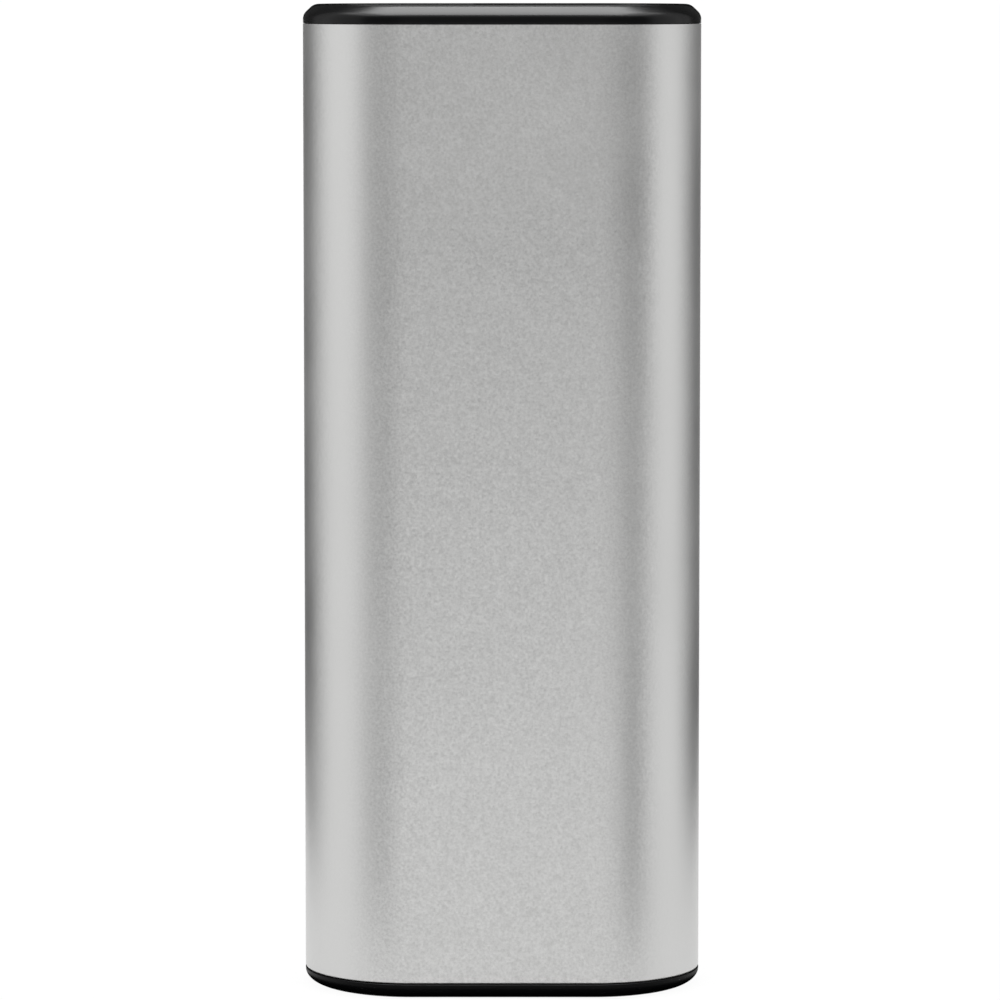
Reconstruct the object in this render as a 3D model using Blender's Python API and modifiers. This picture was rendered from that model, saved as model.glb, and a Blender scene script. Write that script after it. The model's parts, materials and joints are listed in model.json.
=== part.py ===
"""A rechargeable hand warmer: an aluminium sleeve with a black cap at each end.

Two cells lie side by side in a carrier, with a film heater behind each flat face.
A board under the top cap carries the ports, the charge lights and the switch.
Metres, +Z up, front towards -Y, origin under the middle of the base.
"""

import math

import bmesh
import bpy
from mathutils import Matrix

# Clearances
GAP = 0.0003
OVERRUN = 0.0005
MERGE = 0.00001

# Cells
CELL_DIAMETER = 0.0184
CELL_LENGTH = 0.065
CELL_EDGE = 0.0006
NUB_RADIUS = 0.0028
NUB_HEIGHT = 0.0012
CRIMP_DEPTH = 0.0005
CRIMP_WIDTH = 0.0012
CRIMP_DROP = 0.0032
RING_THICKNESS = 0.0003
RING_BORDER = 0.0007
TAB_THICKNESS = 0.0003
TAB_HALF_DEPTH = 0.003
TAB_OVERLAP = 0.0027
TONGUE_HALF_WIDTH = 0.0015
RISER_SIDE = 0.0034

# Sleeve, and what lies between it and the cells
SHELL_WALL = 0.0012
SIDE_ROOM = 0.00042
END_REACH = 0.0109
INSULATION_THICKNESS = 0.0003
HEATER_THICKNESS = 0.0004
HEATER_MARGIN = 0.0003
TAIL_WIDTH = 0.005
TAIL_BORDER = 0.001
FRONT_TAIL_RISE = 0.0055
BACK_TAIL_RISE = 0.0035

# Caps
CROWN_WALL = 0.0001
CROWN_ROUND = 0.0014
CROWN_INSET = 0.0021
SKIRT_WALL = 0.0013
TOP_SKIRT = 0.0055
BOTTOM_SKIRT = 0.004
BOTTOM_FLOOR = 0.0022
CAP_PLATE = 0.0018
PAD_THICKNESS = 0.0007
PAD_BORDER = 0.0008
PORT_BORDER = 0.0013

# Screws
SCREW_RADIUS = 0.0009
SCREW_HEAD_RADIUS = 0.0017
SCREW_HEAD = 0.0009
HEAD_SINK = 0.0002
SCREW_Y = 0.0066

# Carrier
CARRIER_PLATE = 0.0025
RIB_HALF_WIDTH = 0.0055
CHANNEL_DEPTH = 0.001
RAIL_GRIP = 0.0012
RAIL_WALL = 0.0009
RAIL_CHEEK = 0.0012
RAIL_DROP = 0.0006

# Board
BOARD_THICKNESS = 0.0016
BOARD_HEADROOM = 0.0027
COMPONENT_BAY = 0.0088
POST_HALF_WIDTH = 0.0018
POST_LIFT = 0.003
POST_SCREW_LIFT = 0.0025

# Outlet and inlet
PORT_WEB = 0.00115
PORT_RECESS = 0.0004
PORT_SHEET = 0.0003
USB_A_WIDTH = 0.0131
USB_A_HEIGHT = 0.00572
USB_A_LENGTH = 0.014
USB_A_CORNER = 0.0006
USB_A_BASE = 0.0017
USB_A_TONGUE = 0.00184
USB_A_TONGUE_SIDE = 0.0004
USB_A_TONGUE_OFFSET = 0.00122
USB_A_TONGUE_RECESS = 0.001
USB_C_WIDTH = 0.00894
USB_C_HEIGHT = 0.00316
USB_C_LENGTH = 0.0073
USB_C_BASE = 0.0017
USB_C_TONGUE = 0.0007
USB_C_TONGUE_WIDTH = 0.00669
USB_C_TONGUE_RECESS = 0.0007

# Button and its switch
BUTTON_RADIUS = 0.003
BUTTON_RECESS = 0.0003
BUTTON_EDGE = 0.0003
BUTTON_LIP = 0.0007
BUTTON_FLANGE = 0.0007
BUTTON_STEM_RADIUS = 0.0011
BUTTON_STEM = 0.0013
BUTTON_TRAVEL = 0.0004
PLUNGER_RADIUS = 0.001
PLUNGER_RISE = 0.0012
PLUNGER_SUNK = 0.001
SWITCH_WIDTH = 0.006
SWITCH_DEPTH = 0.0035
SWITCH_HEIGHT = 0.0034

# Charge lights
LED_COUNT = 4
LED_PITCH = 0.0032
LED_WIDTH = 0.0016
LED_DEPTH = 0.0008
LED_HEIGHT = 0.0012
LED_DROP = 0.0007
GUIDE_DEPTH = 0.0019
GUIDE_BAR = 0.0012
PIP_RADIUS = 0.0006
PIP_RECESS = 0.0002

# Parts on the board
CHIP_THICKNESS = 0.0009
CONTROLLER_SIZE = 0.005
CONTROLLER_RISE = 0.01
CHARGER_SIZE = 0.004
CHARGER_SPACING = 0.0015
INDUCTOR_SIZE = 0.007
INDUCTOR_HEIGHT = 0.004
INDUCTOR_RISE = 0.0008
CAPACITOR_RADIUS = 0.0025
CAPACITOR_HEIGHT = 0.0054
CAPACITOR_EDGE = 0.0003
CAPACITOR_RISE = 0.0042
PART_SPACING = 0.0008

# Temperature sensor
THERMISTOR_WIDTH = 0.0018
THERMISTOR_HEIGHT = 0.003
THERMISTOR_RISE = 0.03
LEAD_RADIUS = 0.00035
LEAD_BEND = 0.002
LEAD_RISE = 0.0018

# How finely curves are faceted
END_STEPS = 24
CORNER_STEPS = 4
ROUND_STEPS = 32
SMALL_STEPS = 20
CROWN_STEPS = 5
BEND_STEPS = 5

# The row of ports and button across the cap, with a web between each two
USB_A_HOLE = USB_A_WIDTH + 2 * GAP
USB_C_HOLE = USB_C_WIDTH + 2 * GAP
BORE_RADIUS = BUTTON_RADIUS + GAP
ROW_WIDTH = USB_A_HOLE + USB_C_HOLE + 2 * BORE_RADIUS + 2 * PORT_WEB

# Section, from the cells outwards, and wide enough for that row in its cap
CELL_RADIUS = CELL_DIAMETER / 2
CELL_OFFSET = CELL_RADIUS + GAP / 2
INSULATION_Y = CELL_RADIUS + GAP
RIB_Y = CELL_RADIUS
HEATER_Y = INSULATION_Y + INSULATION_THICKNESS + GAP
HALF_DEPTH = HEATER_Y + HEATER_THICKNESS + GAP + SHELL_WALL
SKIRT_INSET = SHELL_WALL + GAP
HOLLOW_INSET = SKIRT_INSET + SKIRT_WALL
CELLS_HALF_WIDTH = CELL_OFFSET + CELL_RADIUS + SIDE_ROOM + SHELL_WALL
PORTS_HALF_WIDTH = ROW_WIDTH / 2 + PORT_BORDER + HOLLOW_INSET
HALF_WIDTH = max(CELLS_HALF_WIDTH, PORTS_HALF_WIDTH)
FLAT_HALF = HALF_WIDTH - END_REACH
HEATER_HALF_WIDTH = FLAT_HALF - HEATER_MARGIN
TAIL_X = HEATER_HALF_WIDTH - TAIL_BORDER - TAIL_WIDTH / 2
RECESS_INSET = CROWN_INSET + PAD_BORDER
PAD_INSET = RECESS_INSET + GAP

# Heights, from the base upwards
PAD_RECESS = PAD_THICKNESS + GAP
FLOOR_TOP = PAD_RECESS + BOTTOM_FLOOR
SCREW_SEAT = PAD_RECESS + HEAD_SINK + SCREW_HEAD + GAP
BOTTOM_SKIRT_TOP = FLOOR_TOP + BOTTOM_SKIRT
NEGATIVE_TAB_Z = BOTTOM_SKIRT_TOP + GAP
CELL_BOTTOM = NEGATIVE_TAB_Z + TAB_THICKNESS + GAP
CELL_TOP = CELL_BOTTOM + CELL_LENGTH
RING_Z = CELL_TOP - NUB_HEIGHT + GAP
POSITIVE_TAB_Z = CELL_TOP + GAP
POSITIVE_RISER_X = CELL_OFFSET - RISER_SIDE
PLATE_BOTTOM = POSITIVE_TAB_Z + TAB_THICKNESS + GAP
PLATE_TOP = PLATE_BOTTOM + CARRIER_PLATE
BOARD_BOTTOM = PLATE_TOP + GAP
USB_A_BOTTOM = BOARD_BOTTOM + COMPONENT_BAY
PORT_MOUTH = USB_A_BOTTOM + USB_A_LENGTH
USB_C_BOTTOM = PORT_MOUTH - USB_C_LENGTH
BODY_TOP = PORT_MOUTH + PORT_RECESS
CAP_UNDERSIDE = BODY_TOP - CAP_PLATE
BOARD_TOP = CAP_UNDERSIDE - BOARD_HEADROOM
CROWN_HEIGHT = CROWN_WALL + CROWN_ROUND
SHELL_BOTTOM = CROWN_HEIGHT + GAP
SHELL_TOP = BODY_TOP - CROWN_HEIGHT - GAP

# Depths on the board, which stands on edge in front of the ports
BOARD_BACK = -USB_A_HEIGHT / 2 - GAP
BOARD_FRONT = BOARD_BACK - BOARD_THICKNESS
BACK_SEAT = BOARD_BACK + GAP
FRONT_SEAT = BOARD_FRONT - GAP
RAIL_FRONT = FRONT_SEAT - RAIL_CHEEK
RAIL_BACK = BACK_SEAT + RAIL_CHEEK
PIP_Y = FRONT_SEAT - GUIDE_DEPTH / 2

# Places across the cap: outlet, inlet and button in one centred row
USB_A_X = (USB_A_HOLE - ROW_WIDTH) / 2
USB_C_X = USB_A_X + (USB_A_HOLE + USB_C_HOLE) / 2 + PORT_WEB
BUTTON_X = USB_C_X + USB_C_HOLE / 2 + PORT_WEB + BORE_RADIUS

# Button heights, from its flange under the cap down to the switch
FLANGE_TOP = CAP_UNDERSIDE - GAP
FLANGE_BOTTOM = FLANGE_TOP - BUTTON_FLANGE
STEM_BOTTOM = FLANGE_BOTTOM - BUTTON_STEM
PLUNGER_TOP = STEM_BOTTOM - GAP
SWITCH_TOP = PLUNGER_TOP - PLUNGER_RISE
SWITCH_BOTTOM = SWITCH_TOP - SWITCH_HEIGHT
PLUNGER_BOTTOM = SWITCH_TOP - PLUNGER_SUNK
PLUNGER_Y = BACK_SEAT + SWITCH_DEPTH / 2

# Charge lights, from the board's top edge upwards
LED_TOP = BOARD_TOP - LED_DROP
LED_ROW_X = LED_PITCH * (LED_COUNT - 1) / 2
GUIDE_BOTTOM = LED_TOP + GAP
GUIDE_TOP = GUIDE_BOTTOM + GUIDE_BAR

# Board screws, and the posts of the top cap that take them
POST_BOTTOM = PLATE_TOP + POST_LIFT
BOARD_SCREW_Z = POST_BOTTOM + POST_SCREW_LIFT

BLACK_PLASTIC = ((0.012, 0.012, 0.013), 0.38, 0.0)
GREY_PLASTIC = ((0.07, 0.07, 0.075), 0.55, 0.0)
WHITE_PLASTIC = ((0.78, 0.78, 0.76), 0.45, 0.0)
CLEAR_PLASTIC = ((0.75, 0.78, 0.8), 0.15, 0.0)
RUBBER = ((0.015, 0.015, 0.016), 0.8, 0.0)
SILVER_ALUMINIUM = ((0.48, 0.48, 0.475), 0.42, 1.0)
BRIGHT_STEEL = ((0.6, 0.6, 0.6), 0.28, 1.0)
NICKEL = ((0.56, 0.54, 0.5), 0.3, 1.0)
CELL_WRAP = ((0.05, 0.16, 0.34), 0.35, 0.0)
CARD = ((0.85, 0.85, 0.82), 0.8, 0.0)
AMBER_FILM = ((0.42, 0.17, 0.02), 0.3, 0.0)
FELT = ((0.55, 0.54, 0.5), 0.9, 0.0)
BOARD_GREEN = ((0.01, 0.12, 0.05), 0.4, 0.0)
CHIP_BLACK = ((0.02, 0.02, 0.022), 0.5, 0.0)
FERRITE = ((0.06, 0.06, 0.065), 0.7, 0.0)

UPRIGHT = (0.0, 0.0, 0.0)
ALONG_Y = (math.pi / 2, 0.0, 0.0)


def clear_scene():
    for obj in list(bpy.data.objects):
        bpy.data.objects.remove(obj, do_unlink=True)


def new_collection(name):
    collection = bpy.data.collections.new(name)
    bpy.context.scene.collection.children.link(collection)
    return collection


clear_scene()
pieces = new_collection("hand_warmer")
cutters = new_collection("cutters")


def paint(name, look):
    colour, roughness, metallic = look
    material = bpy.data.materials.new(name + "_finish")
    material.use_nodes = True
    shader = material.node_tree.nodes["Principled BSDF"]
    shader.inputs["Base Color"].default_value = (*colour, 1.0)
    shader.inputs["Roughness"].default_value = roughness
    shader.inputs["Metallic"].default_value = metallic
    return material


def place(name, bm, look=None, location=UPRIGHT, rotation=UPRIGHT):
    """Make an object of the bmesh: a piece if it has a look, otherwise a cutter."""
    mesh = bpy.data.meshes.new(name)
    bm.to_mesh(mesh)
    bm.free()
    obj = bpy.data.objects.new(name, mesh)
    obj.location = location
    obj.rotation_euler = rotation
    if look:
        mesh.materials.append(paint(name, look))
        pieces.objects.link(obj)
    else:
        cutters.objects.link(obj)
        obj.hide_render = True
        obj.display_type = "WIRE"
    return obj


def shade_round(obj, sharp_from=math.radians(35)):
    obj.data.shade_smooth()
    obj.data.set_sharp_from_angle(angle=sharp_from)
    return obj


def middle(span):
    return (span[0] + span[1]) / 2


def length(span):
    return span[1] - span[0]


def around(centre, half):
    return (centre - half, centre + half)


def box(name, across, deep, high, look=None):
    """A box between the given x, y and z spans."""
    bm = bmesh.new()
    size = Matrix.Diagonal((length(across), length(deep), length(high), 1))
    bmesh.ops.create_cube(bm, size=1, matrix=size)
    return place(name, bm, look, (middle(across), middle(deep), middle(high)))


def cylinder(name, radius, span, x, y, look=None, steps=SMALL_STEPS):
    """An upright cylinder between the two heights of its span."""
    bm = bmesh.new()
    bmesh.ops.create_cone(
        bm,
        cap_ends=True,
        segments=steps,
        radius1=radius,
        radius2=radius,
        depth=length(span),
    )
    return shade_round(place(name, bm, look, (x, y, middle(span))))


def cylinder_along_y(name, radius, span, x, z, look=None):
    """A cylinder between the two depths of its span, lying along Y."""
    obj = cylinder(name, radius, span, x, z, look)
    obj.location = (x, middle(span), z)
    obj.rotation_euler = ALONG_Y
    return obj


def turned(name, profile, location, look=None, rotation=UPRIGHT, steps=ROUND_STEPS):
    """A turned piece: profile points are (radius, height), down the outer side."""
    bm = bmesh.new()
    points = [bm.verts.new((radius, 0, height)) for radius, height in profile]
    for first, second in zip(points, points[1:]):
        bm.edges.new((first, second))
    obj = shade_round(place(name, bm, look, location, rotation))
    screw = obj.modifiers.new("Turn", "SCREW")
    screw.axis = "Z"
    screw.angle = math.tau
    screw.steps = steps
    screw.render_steps = steps
    screw.use_merge_vertices = True
    screw.merge_threshold = MERGE
    return obj


def ended_outline(flat_half, reach_x, reach_y, steps=END_STEPS):
    """Two flat sides joined by half-elliptical ends, anticlockwise."""
    points = []
    for centre, start in ((flat_half, -math.pi / 2), (-flat_half, math.pi / 2)):
        for step in range(steps + 1):
            angle = start + math.pi * step / steps
            points.append((centre + reach_x * math.cos(angle), reach_y * math.sin(angle)))
    return points


def section(inset):
    """The body's section, drawn in from the outside of the sleeve by the inset."""
    return ended_outline(FLAT_HALF, END_REACH - inset, HALF_DEPTH - inset)


def half_width_at(y, inset):
    """How far the section reaches sideways at one depth."""
    share = math.sqrt(1 - (y / (HALF_DEPTH - inset)) ** 2)
    return FLAT_HALF + (END_REACH - inset) * share


def half_depth_at(x, inset):
    """How far the section reaches forwards at one place across its rounded end."""
    share = math.sqrt(1 - ((x - FLAT_HALF) / (END_REACH - inset)) ** 2)
    return (HALF_DEPTH - inset) * share


def cornered_outline(half_x, half_y, radius):
    """A rectangle with rounded corners, anticlockwise."""
    points = []
    corners = ((1, -1, -1), (1, 1, 0), (-1, 1, 1), (-1, -1, 2))
    for side_x, side_y, quarter in corners:
        for step in range(CORNER_STEPS + 1):
            angle = math.pi / 2 * (quarter + step / CORNER_STEPS)
            points.append(
                (
                    side_x * (half_x - radius) + radius * math.cos(angle),
                    side_y * (half_y - radius) + radius * math.sin(angle),
                )
            )
    return points


def joined_rings(bm, rings):
    """Points along each ring of (outline, height), with faces from each to the next."""
    loops = [[bm.verts.new((x, y, z)) for x, y in outline] for outline, z in rings]
    for lower, upper in zip(loops, loops[1:]):
        for index in range(len(lower)):
            before = index - 1
            bm.faces.new((lower[before], lower[index], upper[index], upper[before]))
    return loops


def lofted(name, rings, look=None, location=UPRIGHT):
    """A closed body through rings of (outline, height), all with as many points."""
    bm = bmesh.new()
    loops = joined_rings(bm, rings)
    bm.faces.new(reversed(loops[0]))
    bm.faces.new(loops[-1])
    return shade_round(place(name, bm, look, location))


def prism(name, outline, high, look=None, x=0, y=0):
    return lofted(name, [(outline, z) for z in high], look, (x, y, 0))


def sleeve(name, outline, high, wall, look, x=0, y=0):
    """An open surface along the outline, given its wall inwards."""
    bm = bmesh.new()
    joined_rings(bm, [(outline, z) for z in high])
    obj = shade_round(place(name, bm, look, (x, y, 0)))
    solidify = obj.modifiers.new("Wall", "SOLIDIFY")
    solidify.thickness = wall
    solidify.offset = -1
    solidify.use_even_offset = True
    return obj


def boolean(piece, other, operation):
    modifier = piece.modifiers.new(other.name, "BOOLEAN")
    modifier.operation = operation
    modifier.solver = "EXACT"
    modifier.object = other


def cut(piece, *others):
    for other in others:
        boolean(piece, other, "DIFFERENCE")


def fuse(piece, *others):
    for other in others:
        boolean(piece, other, "UNION")


def crown_rings():
    """The cap's rounded edge as (inset, height above its rim), from the rim up."""
    rings = [(0, 0)]
    for step in range(CROWN_STEPS + 1):
        angle = math.pi / 2 * step / CROWN_STEPS
        inset = CROWN_INSET * (1 - math.cos(angle))
        rings.append((inset, CROWN_WALL + CROWN_ROUND * math.sin(angle)))
    return rings


def make_shell():
    sleeve("tube_shell", section(0), (SHELL_BOTTOM, SHELL_TOP), SHELL_WALL, SILVER_ALUMINIUM)


def make_top_cap():
    rim = BODY_TOP - CROWN_HEIGHT
    skirt_end = CAP_UNDERSIDE - TOP_SKIRT
    rings = [(section(SKIRT_INSET), skirt_end), (section(SKIRT_INSET), rim)]
    rings += [(section(inset), rim + rise) for inset, rise in crown_rings()]
    cap = lofted("top_cap", rings, BLACK_PLASTIC)
    hollow = (skirt_end - OVERRUN, CAP_UNDERSIDE)
    cut(cap, prism("cut_top_hollow", section(HOLLOW_INSET), hollow))
    for side, sign in (("left", -1), ("right", 1)):
        across = around(sign * post_x(), POST_HALF_WIDTH)
        deep = (post_front(), FRONT_SEAT)
        high = (POST_BOTTOM, CAP_UNDERSIDE + CAP_PLATE / 2)
        fuse(cap, box("post_" + side, across, deep, high))
        cut(cap, board_screw_hole("cut_post_" + side, sign * post_x()))
    through = (CAP_UNDERSIDE - OVERRUN, BODY_TOP + OVERRUN)
    outlet = cornered_outline(USB_A_HOLE / 2, USB_A_HEIGHT / 2 + GAP, USB_A_CORNER + GAP)
    cut(cap, prism("cut_outlet", outlet, through, x=USB_A_X))
    reach = USB_C_HEIGHT / 2 + GAP
    inlet = ended_outline(USB_C_HOLE / 2 - reach, reach, reach, CORNER_STEPS * 2)
    cut(cap, prism("cut_inlet", inlet, through, x=USB_C_X))
    cut(cap, cylinder("cut_button", BORE_RADIUS, through, BUTTON_X, 0, steps=ROUND_STEPS))
    for number, x in enumerate(light_places(), 1):
        cut(cap, cylinder(f"cut_window_{number}", PIP_RADIUS + GAP, through, x, PIP_Y))


def make_bottom_cap():
    rings = [(section(inset), CROWN_HEIGHT - rise) for inset, rise in reversed(crown_rings())]
    rings.append((section(SKIRT_INSET), CROWN_HEIGHT))
    rings.append((section(SKIRT_INSET), BOTTOM_SKIRT_TOP))
    cap = lofted("bottom_cap", rings, BLACK_PLASTIC)
    hollow = (FLOOR_TOP, BOTTOM_SKIRT_TOP + OVERRUN)
    cut(cap, prism("cut_bottom_hollow", section(HOLLOW_INSET), hollow))
    cut(cap, prism("cut_pad_recess", section(RECESS_INSET), (-OVERRUN, PAD_RECESS)))
    for side, sign in (("front", -1), ("back", 1)):
        y = sign * SCREW_Y
        sink = (PAD_RECESS - OVERRUN, SCREW_SEAT)
        through = (SCREW_SEAT - OVERRUN, FLOOR_TOP + OVERRUN)
        cut(cap, cylinder("cut_head_" + side, SCREW_HEAD_RADIUS + GAP, sink, 0, y))
        cut(cap, cylinder("cut_shank_" + side, SCREW_RADIUS + GAP, through, 0, y))


def make_foot_pad():
    prism("foot_pad", section(PAD_INSET), (0, PAD_THICKNESS), RUBBER)


def screw_profile(shank):
    """Head downwards, shank upwards from the underside of the head."""
    return [
        (0, shank),
        (SCREW_RADIUS, shank),
        (SCREW_RADIUS, 0),
        (SCREW_HEAD_RADIUS, 0),
        (SCREW_HEAD_RADIUS, -SCREW_HEAD),
        (0, -SCREW_HEAD),
    ]


def make_bottom_screws():
    under_head = SCREW_SEAT - GAP
    profile = screw_profile(BOTTOM_SKIRT_TOP - GAP - under_head)
    for side, sign in (("front", -1), ("back", 1)):
        place_at = (0, sign * SCREW_Y, under_head)
        turned("bottom_screw_" + side, profile, place_at, BRIGHT_STEEL, steps=SMALL_STEPS)


def post_x():
    return board_half_width() - RAIL_GRIP - GAP - POST_HALF_WIDTH


def post_front():
    """Where the posts end, inside the sleeve's rounded end."""
    return -half_depth_at(post_x() + POST_HALF_WIDTH, SKIRT_INSET)


def board_half_width():
    rail_outside = half_width_at(RAIL_FRONT, SKIRT_INSET)
    return rail_outside - GAP - RAIL_WALL - GAP


def board_screw_hole(name, x):
    span = (post_front() - OVERRUN, BACK_SEAT + OVERRUN)
    return cylinder_along_y(name, SCREW_RADIUS + GAP, span, x, BOARD_SCREW_Z)


def make_board_screws():
    shank = BACK_SEAT - post_front() - GAP
    profile = screw_profile(shank)
    for side, sign in (("left", -1), ("right", 1)):
        place_at = (sign * post_x(), BACK_SEAT, BOARD_SCREW_Z)
        turned("board_screw_" + side, profile, place_at, BRIGHT_STEEL, ALONG_Y, SMALL_STEPS)


def make_main_board():
    half = board_half_width()
    high = (BOARD_BOTTOM, BOARD_TOP)
    board = box("main_board", (-half, half), (BOARD_FRONT, BOARD_BACK), high, BOARD_GREEN)
    for side, sign in (("left", -1), ("right", 1)):
        cut(board, board_screw_hole("cut_board_" + side, sign * post_x()))


def make_carrier():
    low = (FLOOR_TOP + GAP, BOTTOM_SKIRT_TOP)
    carrier = prism("cell_carrier", section(HOLLOW_INSET + GAP), low, GREY_PLASTIC)
    ribs_high = (FLOOR_TOP + 2 * GAP, PLATE_BOTTOM + CARRIER_PLATE / 2)
    ribs = box("ribs", (-RIB_HALF_WIDTH, RIB_HALF_WIDTH), (-RIB_Y, RIB_Y), ribs_high)
    bores_high = (BOTTOM_SKIRT_TOP, PLATE_BOTTOM)
    for side, sign in (("left", -1), ("right", 1)):
        bore = cylinder(
            "cut_cell_" + side,
            CELL_RADIUS + GAP,
            bores_high,
            sign * CELL_OFFSET,
            0,
            steps=ROUND_STEPS * 2,
        )
        cut(ribs, bore)
    plate = prism("carrier_plate", section(SKIRT_INSET), (PLATE_BOTTOM, PLATE_TOP))
    fuse(carrier, ribs, plate)
    for side, sign in (("left", -1), ("right", 1)):
        add_rail(carrier, side, sign)
        cut_pilot_hole(carrier, sign)
    cut_tab_slots(carrier)
    cut_tail_notches(carrier)
    cut_sensor_channel(carrier)


def add_rail(carrier, side, sign):
    grip = board_half_width() - RAIL_GRIP
    outside = board_half_width() + GAP + RAIL_WALL
    across = sorted((sign * grip, sign * outside))
    high = (PLATE_TOP - CARRIER_PLATE / 2, USB_A_BOTTOM - RAIL_DROP)
    fuse(carrier, box("rail_" + side, across, (RAIL_FRONT, RAIL_BACK), high))
    slot_across = sorted((sign * (grip - OVERRUN), sign * (board_half_width() + GAP)))
    slot_high = (PLATE_TOP, USB_A_BOTTOM)
    cut(carrier, box("cut_rail_" + side, slot_across, (FRONT_SEAT, BACK_SEAT), slot_high))


def cut_pilot_hole(carrier, sign):
    high = (FLOOR_TOP, BOTTOM_SKIRT_TOP + GAP)
    hole = cylinder(f"cut_pilot_{sign}", SCREW_RADIUS + GAP, high, 0, sign * SCREW_Y)
    cut(carrier, hole)


def cut_tab_slots(carrier):
    """Room for both tabs between the ribs, and for the two strips that rise from them."""
    across = around(0, TONGUE_HALF_WIDTH + GAP)
    tab_back = TAB_HALF_DEPTH + GAP
    low = (BOTTOM_SKIRT_TOP, CELL_BOTTOM)
    cut(carrier, box("cut_negative_tongue", across, (-RIB_Y - GAP, tab_back), low))
    channel = (-RIB_Y - GAP, -RIB_Y + CHANNEL_DEPTH)
    rise = (BOTTOM_SKIRT_TOP, PLATE_TOP + OVERRUN)
    cut(carrier, box("cut_negative_riser", across, channel, rise))
    high = (CELL_TOP, PLATE_BOTTOM)
    cut(carrier, box("cut_positive_tab", across, (-tab_back, tab_back), high))
    riser_across = around(POSITIVE_RISER_X, TONGUE_HALF_WIDTH + GAP)
    riser_deep = (FRONT_SEAT - TAB_THICKNESS - GAP, FRONT_SEAT + GAP)
    slot_high = (PLATE_BOTTOM - OVERRUN, PLATE_TOP + OVERRUN)
    cut(carrier, box("cut_positive_riser", riser_across, riser_deep, slot_high))


def cut_tail_notches(carrier):
    """Notches in the top plate, where each heater's tail passes."""
    high = (PLATE_BOTTOM - OVERRUN, PLATE_TOP + OVERRUN)
    for side, sign in (("front", -1), ("back", 1)):
        across = around(sign * TAIL_X, TAIL_WIDTH / 2 + GAP)
        deep = sorted((sign * (HEATER_Y - GAP), sign * HALF_DEPTH))
        cut(carrier, box("cut_tail_" + side, across, deep, high))


def cut_sensor_channel(carrier):
    """A groove down the back rib, which holds the thermistor and its lead."""
    across = around(0, THERMISTOR_WIDTH / 2 + GAP)
    deep = (RIB_Y - CHANNEL_DEPTH, RIB_Y + GAP)
    high = (CELL_BOTTOM + THERMISTOR_RISE - GAP, PLATE_TOP + OVERRUN)
    cut(carrier, box("cut_sensor_channel", across, deep, high))


def make_cells():
    shoulder = CELL_LENGTH - NUB_HEIGHT
    crimp = shoulder - CRIMP_DROP
    profile = [
        (0, CELL_LENGTH),
        (NUB_RADIUS, CELL_LENGTH),
        (NUB_RADIUS, shoulder),
        (CELL_RADIUS - CELL_EDGE, shoulder),
        (CELL_RADIUS, shoulder - CELL_EDGE),
        (CELL_RADIUS, crimp),
        (CELL_RADIUS - CRIMP_DEPTH, crimp - CRIMP_WIDTH / 2),
        (CELL_RADIUS, crimp - CRIMP_WIDTH),
        (CELL_RADIUS, CELL_EDGE),
        (CELL_RADIUS - CELL_EDGE, 0),
        (0, 0),
    ]
    for side, sign in (("left", -1), ("right", 1)):
        turned("cell_" + side, profile, (sign * CELL_OFFSET, 0, CELL_BOTTOM), CELL_WRAP)


def make_insulator_rings():
    inner = NUB_RADIUS + GAP
    outer = CELL_RADIUS - CELL_EDGE - RING_BORDER
    profile = [
        (inner, RING_THICKNESS),
        (outer, RING_THICKNESS),
        (outer, 0),
        (inner, 0),
        (inner, RING_THICKNESS),
    ]
    for side, sign in (("left", -1), ("right", 1)):
        turned("insulator_ring_" + side, profile, (sign * CELL_OFFSET, 0, RING_Z), CARD)


def make_negative_tab():
    """A strip under both cells, with a tongue up the front rib and over to the board."""
    reach = CELL_OFFSET + TAB_OVERLAP
    high = (NEGATIVE_TAB_Z, NEGATIVE_TAB_Z + TAB_THICKNESS)
    depth = (-TAB_HALF_DEPTH, TAB_HALF_DEPTH)
    tab = box("negative_tab", (-reach, reach), depth, high, NICKEL)
    riser_back = -RIB_Y + CHANNEL_DEPTH - GAP
    riser_front = riser_back - TAB_THICKNESS
    across = around(0, TONGUE_HALF_WIDTH)
    tongue = box("negative_tongue", across, (riser_front, 0), high)
    top = BOARD_BOTTOM + LEAD_RISE
    riser = box("negative_riser", across, (riser_front, riser_back), (high[0], top))
    leg = box("negative_leg", across, (riser_front, FRONT_SEAT), (top - TAB_THICKNESS, top))
    fuse(tab, tongue, riser, leg)


def make_positive_tab():
    """A strip over both cells, with a tongue that rises along the board."""
    reach = CELL_OFFSET + TAB_OVERLAP
    high = (POSITIVE_TAB_Z, POSITIVE_TAB_Z + TAB_THICKNESS)
    depth = (-TAB_HALF_DEPTH, TAB_HALF_DEPTH)
    tab = box("positive_tab", (-reach, reach), depth, high, NICKEL)
    riser_front = FRONT_SEAT - TAB_THICKNESS
    across = around(POSITIVE_RISER_X, TONGUE_HALF_WIDTH)
    tongue = box("positive_tongue", across, (riser_front, 0), high)
    rise = (high[0], BOARD_BOTTOM + POST_LIFT)
    riser = box("positive_riser", across, (riser_front, FRONT_SEAT), rise)
    fuse(tab, tongue, riser)


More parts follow.
